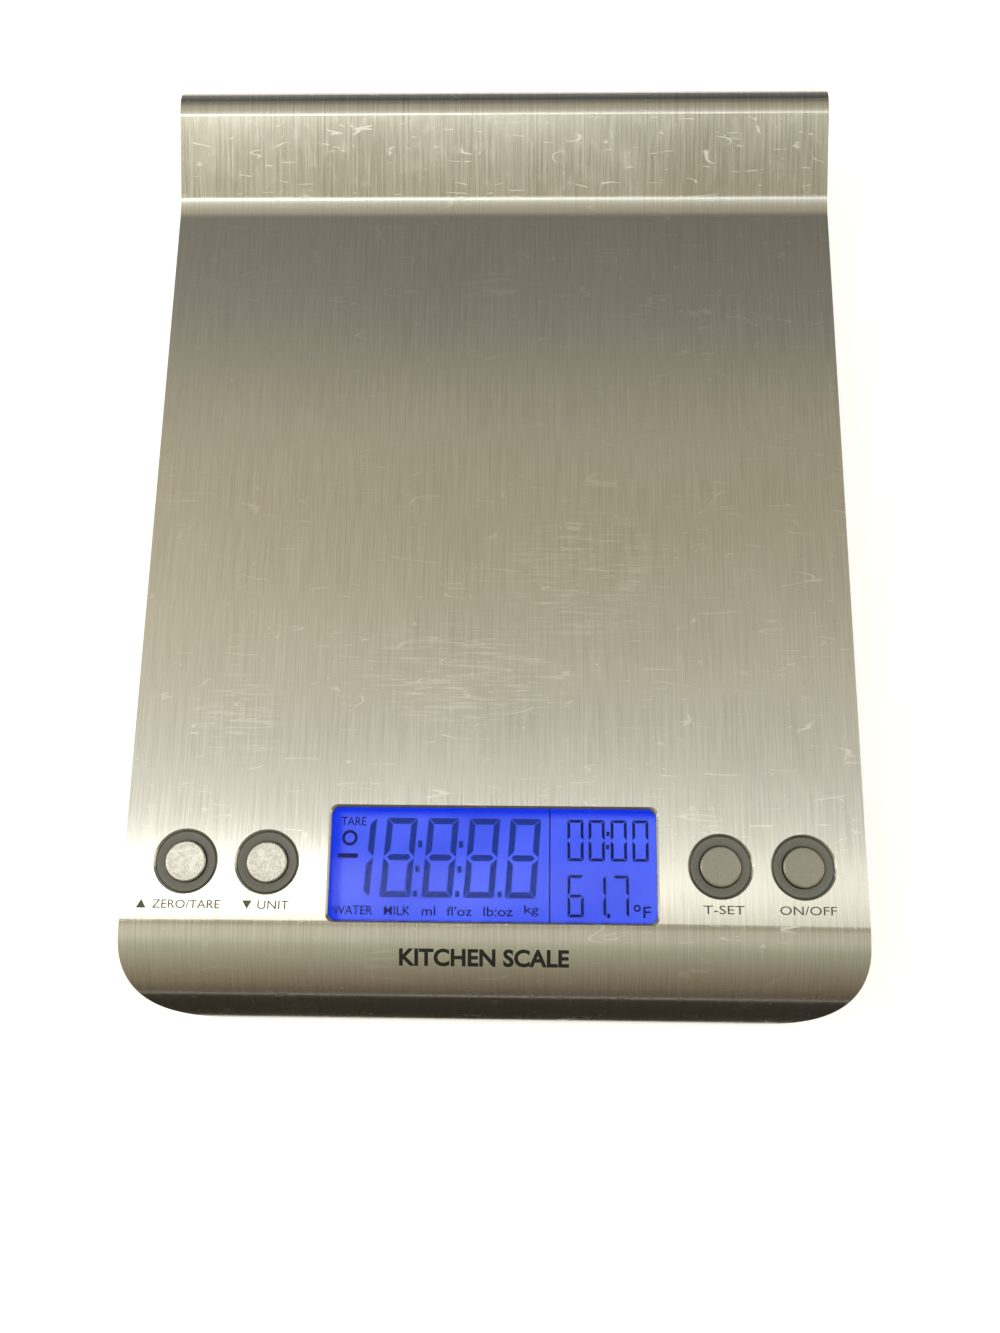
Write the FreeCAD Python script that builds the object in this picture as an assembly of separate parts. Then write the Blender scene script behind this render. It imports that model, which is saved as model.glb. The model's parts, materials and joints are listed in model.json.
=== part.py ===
"""Flat four-sensor digital kitchen scale: a bent steel weighing plate with the display and keys set into it,
a shallow plastic housing under it, and a strain-gauge load cell over each foot. Millimetres, +Z up,
front (display end) towards -Y, origin on the table under the middle of the plate."""

import FreeCAD, Part
import math
import os

from FreeCAD import Vector

# ---- driving dimensions ---------------------------------------------------------------------------------
# weighing plate
plate_width = 175.0
plate_length = 245.0          # front roll to the back of the rear lip
sheet = 0.9                   # stainless sheet thickness
roll_radius = 23.5            # front edge rolls down
roll_sweep = 72.0
roll_corner = 24.0            # corner radius of the flat blank, wrapped round the roll
ramp_angle = 18.5             # rear ramp
ramp_rise = 8.3               # flat surface to crest
valley_radius = 9.0
crest_radius = 14.0
lip_radius = 5.0              # rear lip rolls over
lip_sweep = 85.0
lip_corner = 6.0
edge_break = 0.5              # chamfer round the key holes and the display opening

# keys and display
row_setback = 35.8            # front edge to the row of keys
key_inset = 14.7              # plate side to the outer key
key_pitch = 19.35
key_hole_radius = 7.2
cap_radius = 4.85
cap_sheet = 0.4
cap_proud = 0.2               # cap stands above the plate
cap_skirt = 1.3
key_travel = 0.35
bezel_drop = 0.4              # bezel's outer edge lies below the plate
bezel_dish = 0.3
bezel_rim = 1.4               # bezel flange beyond the hole
window_width = 77.2
window_depth = 26.7
window_corner = 2.0
window_drop = 0.4
window_flange = 2.0
window_flange_thickness = 1.2

# housing
tape_thickness = 0.4
side_inset = 7.5              # housing side to plate side
housing_front = 27.0          # key row to the housing's front wall
housing_rear_gap = 5.0        # housing's rear wall to the foot of the ramp
housing_corner = 12.0
wall = 2.0
ground_gap = 4.0              # table to the underside of the bottom cover
parting_height = 12.0
tongue = 1.0                  # locating lip round the parting line
bottom_round = 1.6
screw_radius = 1.3
screw_head_radius = 2.6
screw_head = 1.7
screw_length = 9.5
screw_slack = 0.25            # cover's holes are wider than the screws by this
boss_height = 3.2             # above the cover's floor
boss_wall = 1.8
sunk = 2.3                    # cover's underside to the seat of a screw's head
screw_post_radius = 3.4
tape_strip = 9.0              # width of each strip of tape
tape_setback = 8.0            # display opening to the side strips
post_root = 0.5               # posts and ribs run this far into the frame's skin
rib_thickness = 1.4
rib_depth = 3.0
label_half = 26.0             # recess for the rating label
label_depth = 24.0
label_setback = 22.0          # battery bay to the label
label_corner = 2.0
label_recess = 0.4
label_film = 0.2
label_margin = 0.4

# electronics
board_thickness = 1.6
board_margin = 2.0
board_ear = 4.0
board_screw_radius = 1.0
board_screw_head_radius = 2.1
board_screw_head = 1.3
board_screw_length = 6.0
wing_half = 7.0
glass_thickness = 1.1
glass_width = 82.0
glass_depth = 33.0
contact_ledge = 3.2           # rear glass stops short of the front glass by this
guide_thickness = 2.6
guide_inset = 3.4             # room for the lamp at the left
peg_radius = 0.9
peg_inset_x = 1.2
peg_inset_y = 6.0
holder_gap_x = 2.5            # glass to the holder's outer side
holder_gap_y = 1.6
blob_radius = 7.0
blob_height = 1.7
reflector_thickness = 0.2
lead_room = 14.6              # board to battery bay, for the leads to bend in
switch_size = 6.0
switch_height = 3.5
switch_stem_radius = 1.7

# feet and load cells
foot_inset = 19.5             # housing side to the foot's axis
front_foot_setback = 2.7      # key row to the front feet
rear_foot_inset = 24.0        # housing rear to the rear feet
foot_radius = 11.2
foot_travel = 0.5
pad_radius = 9.2
pad_thickness = 2.2
pad_recess = 0.8
cell_size = 26.0
cell_thickness = 1.5
cell_base = 8.2               # table to the load cell's underside
cell_arm = 5.0                # width of the load cell's outer arms
cell_slot = 1.2
cell_tongue = 8.4
gauge_length = 4.4
gauge_height = 0.8
seat_wall = 2.6
seat_lip = 1.3                # seat stands above the load cell
seat_post_radius = 2.4
seat_post_inset = 3.0
guard_height = 0.6            # ring round each foot's opening
guard_wall = 3.4
foot_flange = 2.0
foot_flange_thickness = 0.8
foot_nose_radius = 3.2        # bears on the load cell's tongue
pad_groove_inner = 4.4
pad_groove_outer = 5.6
pad_groove_depth = 0.4
cell_wire_radius = 0.9
lead_radius = 0.7

# batteries, two size AAA side by side
battery_radius = 5.25
battery_length = 44.5
battery_gap = 0.5
spring_length = 4.0
spring_gauge = 0.3            # half the wire's thickness
spring_wide = 3.6
spring_narrow = 2.6
contact_thickness = 0.4
bay_wall = 1.4
ledge = 2.0
door_clearance = 0.3
door_tab = 8.0
door_tab_thickness = 0.6
groove_length = 12.0
groove_width = 0.8
groove_pitch = 1.8
groove_count = 4
groove_depth = 0.4
scoop_radius = 7.0            # finger scoop in front of the door
scoop_depth = 1.1
door_scoop_radius = 3.0
door_slot = 0.8               # frees the door's spring tongue
door_slot_x = 8.0
door_slot_length = 9.0
contact_half_y = 4.2
contact_half_z = 4.0
nub_radius = 1.9
nub_length = 1.0
battery_lift = 0.7            # battery door to the cells
bay_roof_gap = 0.2            # cells to the bay's roof
bay_roof_thickness = 0.8
roof_room = 0.5               # bay's roof to the top frame

clearance = 0.1               # sliding and seating fits
loose = 0.5                   # parts that only pass each other

# ---- places that follow from them -----------------------------------------------------------------------
half_width = plate_width / 2
cover_floor = ground_gap + wall
battery_z = cover_floor + battery_lift + battery_radius
bay_roof = battery_z + battery_radius + bay_roof_gap
frame_under = bay_roof + bay_roof_thickness + roof_room
frame_top = frame_under + wall
plate_under = frame_top + tape_thickness
plate_height = plate_under + sheet     # table to the flat weighing surface
front_y = -plate_length / 2
rear_y = plate_length / 2
roll_y = front_y + roll_radius * math.sin(math.radians(roll_sweep))
roll_z = plate_height - roll_radius
crest_z = plate_height + ramp_rise
crest_y = rear_y - lip_radius * math.sin(math.radians(lip_sweep))
bend_sum = valley_radius + crest_radius
ramp_run = bend_sum * math.sin(math.radians(ramp_angle)) + (
    ramp_rise - bend_sum * (1 - math.cos(math.radians(ramp_angle)))
) / math.tan(math.radians(ramp_angle))
valley_y = crest_y - ramp_run
row_y = front_y + row_setback
outer_key_x = half_width - key_inset
inner_key_x = outer_key_x - key_pitch
keys = {"tare": -outer_key_x, "unit": -inner_key_x, "timer": inner_key_x, "power": outer_key_x}

housing_half = half_width - side_inset
housing_y0 = row_y - housing_front
housing_y1 = valley_y - housing_rear_gap

bezel_radius = key_hole_radius - clearance
bezel_flange_radius = key_hole_radius + bezel_rim
bezel_flange_z = frame_top - 1.0
bezel_bottom = bezel_flange_z - 0.4
bezel_bore = cap_radius + clearance
key_flange_top = bezel_bottom - 0.05
key_flange_radius = bezel_flange_radius - 2.2
cap_top = plate_height + cap_proud
post_radius = 2.5

lens_top = plate_height - window_drop
lens_seat = frame_top - window_flange_thickness
glass_top = frame_under - 0.2
rear_glass_top = glass_top - glass_thickness
guide_top = rear_glass_top - glass_thickness
guide_bottom = guide_top - guide_thickness
board_top = guide_bottom - reflector_thickness - clearance
board_under = board_top - board_thickness
switch_top = board_top + switch_height
plunger_top = switch_top + 0.8
holder_x = glass_width / 2 + holder_gap_x
holder_y = glass_depth / 2 + holder_gap_y
board_half = holder_x + 0.9
board_post_x = holder_x - 8
board_post_y = row_y + holder_y + 4.2
wing_x = housing_half - wall - board_margin

foot_x = housing_half - foot_inset
front_foot_y = row_y + front_foot_setback
rear_foot_y = housing_y1 - rear_foot_inset
feet = {
    "front_left": (-foot_x, front_foot_y),
    "front_right": (foot_x, front_foot_y),
    "rear_left": (-foot_x, rear_foot_y),
    "rear_right": (foot_x, rear_foot_y),
}
cell_top = cell_base + cell_thickness
seat_half = cell_size / 2 + clearance + seat_wall
seat_top = cell_top + seat_lip

bay_half_x = (battery_length + spring_length + 2 * contact_thickness + 2 * clearance) / 2
bay_depth = 4 * battery_radius + 3 * battery_gap
bay_y0 = board_post_y + board_ear + lead_room
bay_y1 = bay_y0 + bay_depth
door_y0 = bay_y0
door_y1 = bay_y1 - ledge
battery_x = bay_half_x - contact_thickness - clearance - battery_length / 2
battery_rows = (bay_y0 + battery_gap + battery_radius, bay_y1 - battery_gap - battery_radius)

cover_screw_places = [
    (side * x, y)
    for side in (-1, 1)
    for x, y in (
        (housing_half - 9.0, housing_y0 + 9.0),
        (housing_half - 8.0, (front_foot_y + rear_foot_y) / 2),
        (foot_x - seat_half - 10.0, housing_y1 - 8.0),
    )
]
boss_top = cover_floor + boss_height
boss_radius = screw_head_radius + boss_wall
counterbore = ground_gap + sunk
label_y = bay_y1 + label_setback
board_screw_places = [(side * x, y) for side in (-1, 1) for x, y in (
    ((inner_key_x + outer_key_x) / 2, row_y),
    (board_post_x, board_post_y),
)]
peg_places = [(sx * (holder_x - peg_inset_x), row_y + sy * (holder_y - peg_inset_y)) for sx in (-1, 1)
              for sy in (-1, 1)]


# ---- helpers --------------------------------------------------------------------------------------------
def block(x0, x1, y0, y1, z0, z1):
    return Part.makeBox(x1 - x0, y1 - y0, z1 - z0, Vector(x0, y0, z0))


def disc(x, y, z0, z1, radius):
    return Part.makeCylinder(radius, z1 - z0, Vector(x, y, z0))


def cone(x, y, z0, z1, r0, r1):
    return Part.makeCone(r0, r1, z1 - z0, Vector(x, y, z0))


def rounded_wire(x0, x1, y0, y1, z, radius):
    """Rectangle with rounded corners, as one closed wire at height z."""
    k = radius * (1 - math.sqrt(0.5))
    edges = []
    runs = [
        ((x0 + radius, y0), (x1 - radius, y0), (x1 - k, y0 + k), (x1, y0 + radius)),
        ((x1, y0 + radius), (x1, y1 - radius), (x1 - k, y1 - k), (x1 - radius, y1)),
        ((x1 - radius, y1), (x0 + radius, y1), (x0 + k, y1 - k), (x0, y1 - radius)),
        ((x0, y1 - radius), (x0, y0 + radius), (x0 + k, y0 + k), (x0 + radius, y0)),
    ]
    for a, b, mid, c in runs:
        pa, pb, pm, pc = (Vector(p[0], p[1], z) for p in (a, b, mid, c))
        edges.append(Part.LineSegment(pa, pb).toShape())
        edges.append(Part.Arc(pb, pm, pc).toShape())
    return Part.Wire(edges)


def rounded_block(x0, x1, y0, y1, z0, z1, radius):
    return Part.Face(rounded_wire(x0, x1, y0, y1, z0, radius)).extrude(Vector(0, 0, z1 - z0))


def union(shapes):
    first = shapes[0]
    return first.fuse(shapes[1:]).removeSplitter() if len(shapes) > 1 else first


def arc_edge(centre_y, centre_z, radius, a0, a1):
    """Arc in the YZ plane at x = 0; an angle of 0 points up and positive angles lean towards +Y."""
    def at(a):
        t = math.radians(a)
        return Vector(0, centre_y + radius * math.sin(t), centre_z + radius * math.cos(t))

    return Part.Arc(at(a0), at((a0 + a1) / 2), at(a1)).toShape()


def side_prism(edges, half):
    """Closed YZ outline, drawn out to both sides of the middle."""
    ends = [(e.valueAt(e.FirstParameter), e.valueAt(e.LastParameter)) for e in edges]
    filled = list(edges)
    for i, (_, last) in enumerate(ends):
        nxt = ends[(i + 1) % len(ends)][0]
        if last.distanceToPoint(nxt) > 1e-6:
            filled.append(Part.LineSegment(last, nxt).toShape())
    face = Part.Face(Part.Wire(Part.__sortEdges__(filled)))
    face.translate(Vector(-half, 0, 0))
    return face.extrude(Vector(2 * half, 0, 0))


def tube(points, radius):
    """Round wire along straight runs joined by tangent arcs."""
    p = [Vector(*q) for q in points]
    edges, start = [], p[0]
    for i in range(1, len(p) - 1):
        u, v = p[i] - p[i - 1], p[i + 1] - p[i]
        shorter = min(u.Length, v.Length)
        u.normalize()
        v.normalize()
        turn = u.getAngle(v)
        back = 0.45 * shorter
        bend = back / math.tan(turn / 2)
        a, b = p[i] - u * back, p[i] + v * back
        inward = (v - u).normalize()
        centre = p[i] + inward * math.hypot(back, bend)
        edges.append(Part.LineSegment(start, a).toShape())
        edges.append(Part.Arc(a, centre - inward * bend, b).toShape())
        start = b
    edges.append(Part.LineSegment(start, p[-1]).toShape())
    path = Part.Wire(edges)
    heading = (p[1] - p[0]).normalize()
    section = Part.Wire(Part.makeCircle(radius, p[0], heading))
    return path.makePipeShell([section], True, False)


# ---- weighing plate -------------------------------------------------------------------------------------
def blank_corner(centre_y, centre_z, radius, direction, sweep, corner, side):
    """What is cut away so that the corner of the flat blank stays round after the edge is rolled."""
    arc_length = radius * math.radians(sweep)
    start = arc_length - corner
    sections = []
    steps = 10
    outer = half_width + 4
    for i in range(steps + 1):
        share = math.sin(math.radians(90.0 * i / steps))
        along = start + corner * share
        cut = corner - math.sqrt(max(corner**2 - (along - start) ** 2, 0))
        t = along / radius * direction
        inner = half_width - cut
        ring = []
        for x, r in ((inner, radius - 3 * sheet), (outer, radius - 3 * sheet),
                     (outer, radius + 3 * sheet), (inner, radius + 3 * sheet)):
            ring.append(Vector(side * x, centre_y + r * math.sin(t), centre_z + r * math.cos(t)))
        sections.append(Part.makePolygon(ring + ring[:1]))
    return Part.makeLoft(sections, True, False)


def plate_profile():
    """Side outline of the bent sheet: upper side from front roll to rear lip, then back underneath."""
    upper = [
        arc_edge(roll_y, roll_z, roll_radius, -roll_sweep, 0),
        Part.LineSegment(Vector(0, roll_y, plate_height), Vector(0, valley_y, plate_height)).toShape(),
        arc_edge(valley_y, plate_height + valley_radius, valley_radius, 180, 180 - ramp_angle),
        arc_edge(crest_y, crest_z - crest_radius, crest_radius, -ramp_angle, 0),
        arc_edge(crest_y, crest_z - lip_radius, lip_radius, 0, lip_sweep),
    ]
    lower = [
        arc_edge(crest_y, crest_z - lip_radius, lip_radius - sheet, lip_sweep, 0),
        arc_edge(crest_y, crest_z - crest_radius, crest_radius - sheet, 0, -ramp_angle),
        arc_edge(valley_y, plate_height + valley_radius, valley_radius + sheet, 180 - ramp_angle, 180),
        Part.LineSegment(Vector(0, valley_y, plate_under), Vector(0, roll_y, plate_under)).toShape(),
        arc_edge(roll_y, roll_z, roll_radius - sheet, 0, -roll_sweep),
    ]
    return upper + lower


def weighing_plate():
    plate = side_prism(plate_profile(), half_width)
    cutters = []
    for side in (-1, 1):
        cutters.append(blank_corner(roll_y, roll_z, roll_radius, -1, roll_sweep, roll_corner, side))
        cutters.append(blank_corner(crest_y, crest_z - lip_radius, lip_radius, 1, lip_sweep, lip_corner,
                                    side))
    deep = plate_under - 1
    for x in keys.values():
        cutters.append(disc(x, row_y, deep, plate_height + 1, key_hole_radius))
        cutters.append(cone(x, row_y, plate_height - edge_break, plate_height,
                            key_hole_radius, key_hole_radius + edge_break))
    hx, hy = window_width / 2, window_depth / 2
    cutters.append(rounded_block(-hx, hx, row_y - hy, row_y + hy, deep, plate_height + 1, window_corner))
    wide = edge_break
    cutters.append(Part.makeLoft([
        rounded_wire(-hx, hx, row_y - hy, row_y + hy, plate_height - edge_break, window_corner),
        rounded_wire(-hx - wide, hx + wide, row_y - hy - wide, row_y + hy + wide, plate_height,
                     window_corner + wide),
    ], True, True))
    return plate.cut(cutters)


def plate_tape():
    """Double-sided tape that bonds the plate to the housing: two side strips and one at the rear."""
    y0, y1 = row_y + window_depth / 2 + tape_setback, housing_y1 - wall
    outer = housing_half - wall
    inner = outer - tape_strip
    end = inner - 1
    return [block(-outer, -inner, y0, y1, frame_top, plate_under),
            block(inner, outer, y0, y1, frame_top, plate_under),
            block(-end, end, y1 - tape_strip, y1, frame_top, plate_under)]


# ---- housing --------------------------------------------------------------------------------------------
def housing_block(inset, top_inset, z0):
    """The housing's outer form, or its hollow when inset: flat top, front edge following the plate's roll."""
    gap = sheet + tape_thickness + top_inset
    top = plate_height - gap
    r = roll_radius - gap
    reach = roll_y - housing_y0 - inset
    outline = [
        arc_edge(roll_y, roll_z, r, -math.degrees(math.asin(reach / r)), 0),
        Part.LineSegment(Vector(0, roll_y, top), Vector(0, housing_y1 - inset, top)).toShape(),
        Part.LineSegment(Vector(0, housing_y1 - inset, z0), Vector(0, housing_y0 + inset, z0)).toShape(),
    ]
    body = side_prism(outline, housing_half)
    plan = rounded_block(-housing_half + inset, housing_half - inset, housing_y0 + inset,
                         housing_y1 - inset, z0, top + 1, housing_corner - inset)
    return body.common(plan)


def top_frame():
    frame = housing_block(0, 0, parting_height).cut(housing_block(wall, wall, parting_height - 1))
    adds = []
    root = frame_under + post_root
    for x, y in cover_screw_places:
        adds.append(disc(x, y, boss_top, root, screw_post_radius))
    for x, y in board_screw_places:
        adds.append(disc(x, y, board_top, root, post_radius))
    post = seat_half - seat_post_inset
    for fx, fy in feet.values():
        for sx in (-1, 1):
            for sy in (-1, 1):
                adds.append(disc(fx + sx * post, fy + sy * post, seat_top, root, seat_post_radius))
    rib_z = frame_under - rib_depth
    rib = rib_thickness / 2
    rib_y0, rib_y1 = bay_y1 + 8, rear_foot_y - seat_half - 4
    for x in (-3, -1, 1, 3):
        rib_x = x * (housing_half - wall) / 5
        adds.append(block(rib_x - rib, rib_x + rib, rib_y0, rib_y1, rib_z, root))
    for y in (rib_y0, (rib_y0 + rib_y1) / 2, rib_y1):
        adds.append(block(wall - housing_half, housing_half - wall, y - rib, y + rib, rib_z, root))
    frame = union([frame, *adds])
    cuts = []
    for x, y in cover_screw_places:
        cuts.append(disc(x, y, boss_top - 1, frame_under - 1.5, screw_radius))
    for x, y in board_screw_places:
        cuts.append(disc(x, y, board_top - 1, frame_under, board_screw_radius))
    for x in keys.values():
        cuts.append(disc(x, row_y, bezel_flange_z, frame_top + 1, bezel_flange_radius + clearance))
        cuts.append(disc(x, row_y, frame_under - 1, frame_top, bezel_flange_radius - 1.8))
    hx, hy = window_width / 2, window_depth / 2
    flange = window_flange + clearance
    cuts.append(rounded_block(-hx - flange, hx + flange, row_y - hy - flange, row_y + hy + flange,
                              lens_seat, frame_top + 1, window_corner + window_flange))
    cuts.append(rounded_block(-hx, hx, row_y - hy, row_y + hy, frame_under - 1, frame_top, window_corner))
    # room for the display holder where the front wall starts to curve down
    room_x, room_y = holder_x + loose, holder_y + loose
    cuts.append(block(-room_x, room_x, row_y - room_y, row_y + room_y, board_top, frame_under))
    return frame.cut(cuts)


def bottom_cover():
    x1, y0, y1, r = housing_half, housing_y0, housing_y1, housing_corner
    outer = rounded_block(-x1, x1, y0, y1, ground_gap, parting_height, r)
    rim = [e for e in outer.Edges if abs(e.BoundBox.ZMax - ground_gap) < 1e-6]
    outer = outer.makeFillet(bottom_round, rim)
    hollow = rounded_block(wall - x1, x1 - wall, y0 + wall, y1 - wall, cover_floor, parting_height + 1,
                           r - wall)
    t = wall + clearance
    lip = rounded_block(t - x1, x1 - t, y0 + t, y1 - t, parting_height - 2, parting_height + 1.2, r - t)
    u = t + tongue
    lip = lip.cut(rounded_block(u - x1, x1 - u, y0 + u, y1 - u, parting_height - 3, parting_height + 2,
                                r - u))
    web = rounded_block(wall / 2 - x1, x1 - wall / 2, y0 + wall / 2, y1 - wall / 2, parting_height - 2,
                        parting_height - 1, r - wall / 2)
    web = web.cut(rounded_block(u - x1, x1 - u, y0 + u, y1 - u, parting_height - 3, parting_height, r - u))
    adds = [lip, web]
    for x, y in cover_screw_places:
        adds.append(disc(x, y, ground_gap, boss_top, boss_radius))
    bay = block(-bay_half_x - bay_wall, bay_half_x + bay_wall, bay_y0 - bay_wall, bay_y1 + bay_wall,
                ground_gap, bay_roof + bay_roof_thickness)
    adds.append(bay)
    for fx, fy in feet.values():
        adds.append(disc(fx, fy, ground_gap, cover_floor + guard_height, foot_radius + guard_wall))
    cover = union([outer.cut(hollow), *adds])
    cuts = [block(-bay_half_x, bay_half_x, bay_y0, bay_y1, cover_floor, bay_roof)]
    cuts.append(block(-bay_half_x + ledge, bay_half_x - ledge, door_y0, door_y1, ground_gap - 1,
                      cover_floor + 1))
    cuts.append(disc(0, door_y0, ground_gap - 1, ground_gap + scoop_depth, scoop_radius))
    for x, y in cover_screw_places:
        cuts.append(disc(x, y, ground_gap - 1, counterbore, screw_head_radius + 0.4))
        cuts.append(disc(x, y, ground_gap, boss_top + 1, screw_radius + screw_slack))
    for fx, fy in feet.values():
        cuts.append(disc(fx, fy, ground_gap - 1, cover_floor + 2, foot_radius + loose))
    cuts.append(rounded_block(-label_half, label_half, label_y, label_y + label_depth, ground_gap - 1,
                              ground_gap + label_recess, label_corner))
    return cover.cut(cuts)


def rating_label():
    """Blank printed label in the bottom cover's recess."""
    m = label_margin
    return rounded_block(m - label_half, label_half - m, label_y + m, label_y + label_depth - m,
                         ground_gap + label_recess - label_film, ground_gap + label_recess, label_corner - m)


def tapping_screw(x, y, head_z, length, head_radius, head, radius):
    """Cross-head tapping screw driven upwards: the head's outer face is at head_z."""
    body = disc(x, y, head_z, head_z + head, head_radius)
    rim = [e for e in body.Edges if abs(e.BoundBox.ZMax - head_z) < 1e-6 and e.BoundBox.XLength > head_radius]
    body = body.makeFillet(head * 0.4, rim)
    taper = head_z + length - 1.2
    shank = disc(x, y, head_z + head - 0.1, taper, radius)
    point = cone(x, y, taper, head_z + length, radius, radius * 0.3)
    slot = head_radius * 0.62
    width = head_radius * 0.13
    cross = block(x - slot, x + slot, y - width, y + width, head_z - 1, head_z + head * 0.55).fuse(
        block(x - width, x + width, y - slot, y + slot, head_z - 1, head_z + head * 0.55))
    return body.fuse([shank, point]).cut(cross)


def cover_screws():
    return [tapping_screw(x, y, counterbore - screw_head, screw_length, screw_head_radius, screw_head,
                          screw_radius - clearance / 2) for x, y in cover_screw_places]


# ---- display --------------------------------------------------------------------------------------------
def display_window():
    hx, hy = window_width / 2 - 2 * clearance, window_depth / 2 - 2 * clearance
    f = window_flange
    raised = rounded_block(-hx, hx, row_y - hy, row_y + hy, frame_top - 0.1, lens_top, window_corner - 0.1)
    flange = rounded_block(-hx - f, hx + f, row_y - hy - f, row_y + hy + f, lens_seat, frame_top,
                           window_corner + f)
    return union([raised, flange])


def window_gasket():
    hx, hy = window_width / 2, window_depth / 2
    f = window_flange - 0.2
    outer = rounded_block(-hx - f, hx + f, row_y - hy - f, row_y + hy + f, frame_top, plate_under - clearance,
                          window_corner + f)
    return outer.cut(rounded_block(-hx, hx, row_y - hy, row_y + hy, frame_top - 1, plate_under + 1,
                                   window_corner))


def lcd_front_glass():
    return block(-glass_width / 2, glass_width / 2, row_y - glass_depth / 2, row_y + glass_depth / 2,
                 rear_glass_top, glass_top)


def lcd_rear_glass():
    return block(-glass_width / 2, glass_width / 2, row_y - glass_depth / 2 + contact_ledge,
                 row_y + glass_depth / 2, guide_top, rear_glass_top)


def guide_block(z0, z1):
    """Outline shared by the light guide and the white film under it, a little inside the glass."""
    edge = 0.3
    return block(-glass_width / 2 + guide_inset, glass_width / 2 - edge,
                 row_y - glass_depth / 2 + contact_ledge + edge - 0.1, row_y + glass_depth / 2 - edge, z0, z1)


def backlight_panel():
    return guide_block(guide_bottom, guide_top)


def backlight_reflector():
    return guide_block(board_top + clearance, guide_bottom)


def backlight_led():
    x = -glass_width / 2 + 1.0
    length, half_depth, height = 2.2, 1.7, 1.6
    return block(x, x + length, row_y - half_depth, row_y + half_depth, board_top, board_top + height)


def lcd_holder():
    fit = 2 * clearance
    outer = rounded_block(-holder_x, holder_x, row_y - holder_y, row_y + holder_y, board_top, glass_top, 1.0)
    inner = block(-glass_width / 2 - fit, glass_width / 2 + fit, row_y - glass_depth / 2 - fit,
                  row_y + glass_depth / 2 + fit, board_top - 1, glass_top + 1)
    frame = outer.cut(inner)
    pegs = [disc(x, y, board_under - 0.8, board_top + 0.5, peg_radius) for x, y in peg_places]
    return union([frame, *pegs])


def zebra_strip():
    y = row_y - glass_depth / 2 + 0.5
    return block(-glass_width / 2 + 2, glass_width / 2 - 2, y, y + 2.0, board_top, rear_glass_top)


# ---- board ----------------------------------------------------------------------------------------------
def main_board():
    centre = rounded_block(-board_half, board_half, row_y - holder_y, row_y + holder_y, board_under,
                           board_top, 1.0)
    wings = rounded_block(-wing_x, wing_x, row_y - wing_half, row_y + wing_half, board_under, board_top, 1.0)
    ear = board_ear
    ears = [rounded_block(s * board_post_x - ear, s * board_post_x + ear, row_y, board_post_y + ear,
                          board_under,
                          board_top, 1.0) for s in (-1, 1)]
    board = union([centre, wings, *ears])
    cuts = [disc(x, y, board_under - 1, board_top + 1, board_screw_radius + 0.4) for x,
            y in board_screw_places]
    cuts += [disc(x, y, board_under - 1, board_top + 1, peg_radius + clearance) for x, y in peg_places]
    return board.cut(cuts)


def chip_blob():
    """Epoxy over the bare scale chip, a flat dome under the board."""
    x, y = 6.0, row_y + 3.0
    ball = (blob_radius**2 + blob_height**2) / (2 * blob_height)
    dome = Part.makeSphere(ball, Vector(x, y, board_under - blob_height + ball))
    return dome.common(disc(x, y, board_under - blob_height - 1, board_under, blob_radius))


def crystal():
    radius, length = 1.5, 6.2
    x, y, z = -24.0, row_y + 8, board_under - radius
    body = Part.makeCylinder(radius, length, Vector(x, y, z), Vector(1, 0, 0))
    leads = [Part.makeCylinder(0.25, 2.6, Vector(x + length - 0.1, y + s, z), Vector(1, 0, 0))
             for s in (-0.6, 0.6)]
    return body.fuse(leads)


def board_chips():
    """Surface-mount resistors and capacitors, each a separate solid under the board."""
    out = []
    first_x, pitch, stagger = -34.0, 9.5, 2.5
    length, width = 2.0, 1.25
    for row, (y, count) in enumerate(((-10.5, 7), (-6.0, 6), (12.0, 5))):
        for i in range(count):
            x = first_x + pitch * i + stagger * row
            tall = 0.6 if (i + row) % 3 else 1.0
            out.append(block(x, x + length, row_y + y, row_y + y + width, board_under - tall, board_under))
    return out


def thermistor():
    x, y = board_half - 8.0, row_y - holder_y + 5.0
    bead = Part.makeSphere(1.2, Vector(x, y, board_under - 3.0))
    legs = [disc(x + s, y, board_under - 3.2, board_under, 0.25) for s in (-0.6, 0.6)]
    return bead.fuse(legs)


def board_screws():
    return [tapping_screw(x, y, board_under - board_screw_head, board_screw_length, board_screw_head_radius,
                          board_screw_head, board_screw_radius - clearance / 2) for x, y in board_screw_places]


# ---- keys -----------------------------------------------------------------------------------------------
def bezel(x):
    """Fixed plastic ring in the plate's key hole, dished towards the cap."""
    top_out, top_in = plate_height - bezel_drop, plate_height - bezel_drop - bezel_dish
    rb, rf = bezel_bore, bezel_flange_radius
    rg = bezel_flange_radius - 1.9
    points = [(rb, bezel_bottom), (rg, bezel_bottom), (rg, bezel_flange_z), (rf, bezel_flange_z),
              (rf, plate_under - 0.1), (bezel_radius, plate_under - 0.1), (bezel_radius, top_out - 0.15),
              (bezel_radius - 0.15, top_out), (rb + 0.2, top_in), (rb, top_in - 0.2)]
    return turned(x, row_y, points)


def turned(x, y, points):
    """Solid of revolution about the vertical through (x, y); points are (radius, height)."""
    ring = [Vector(x + r, y, z) for r, z in points]
    face = Part.Face(Part.makePolygon(ring + ring[:1]))
    return face.revolve(Vector(x, y, 0), Vector(0, 0, 1), 360)


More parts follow.
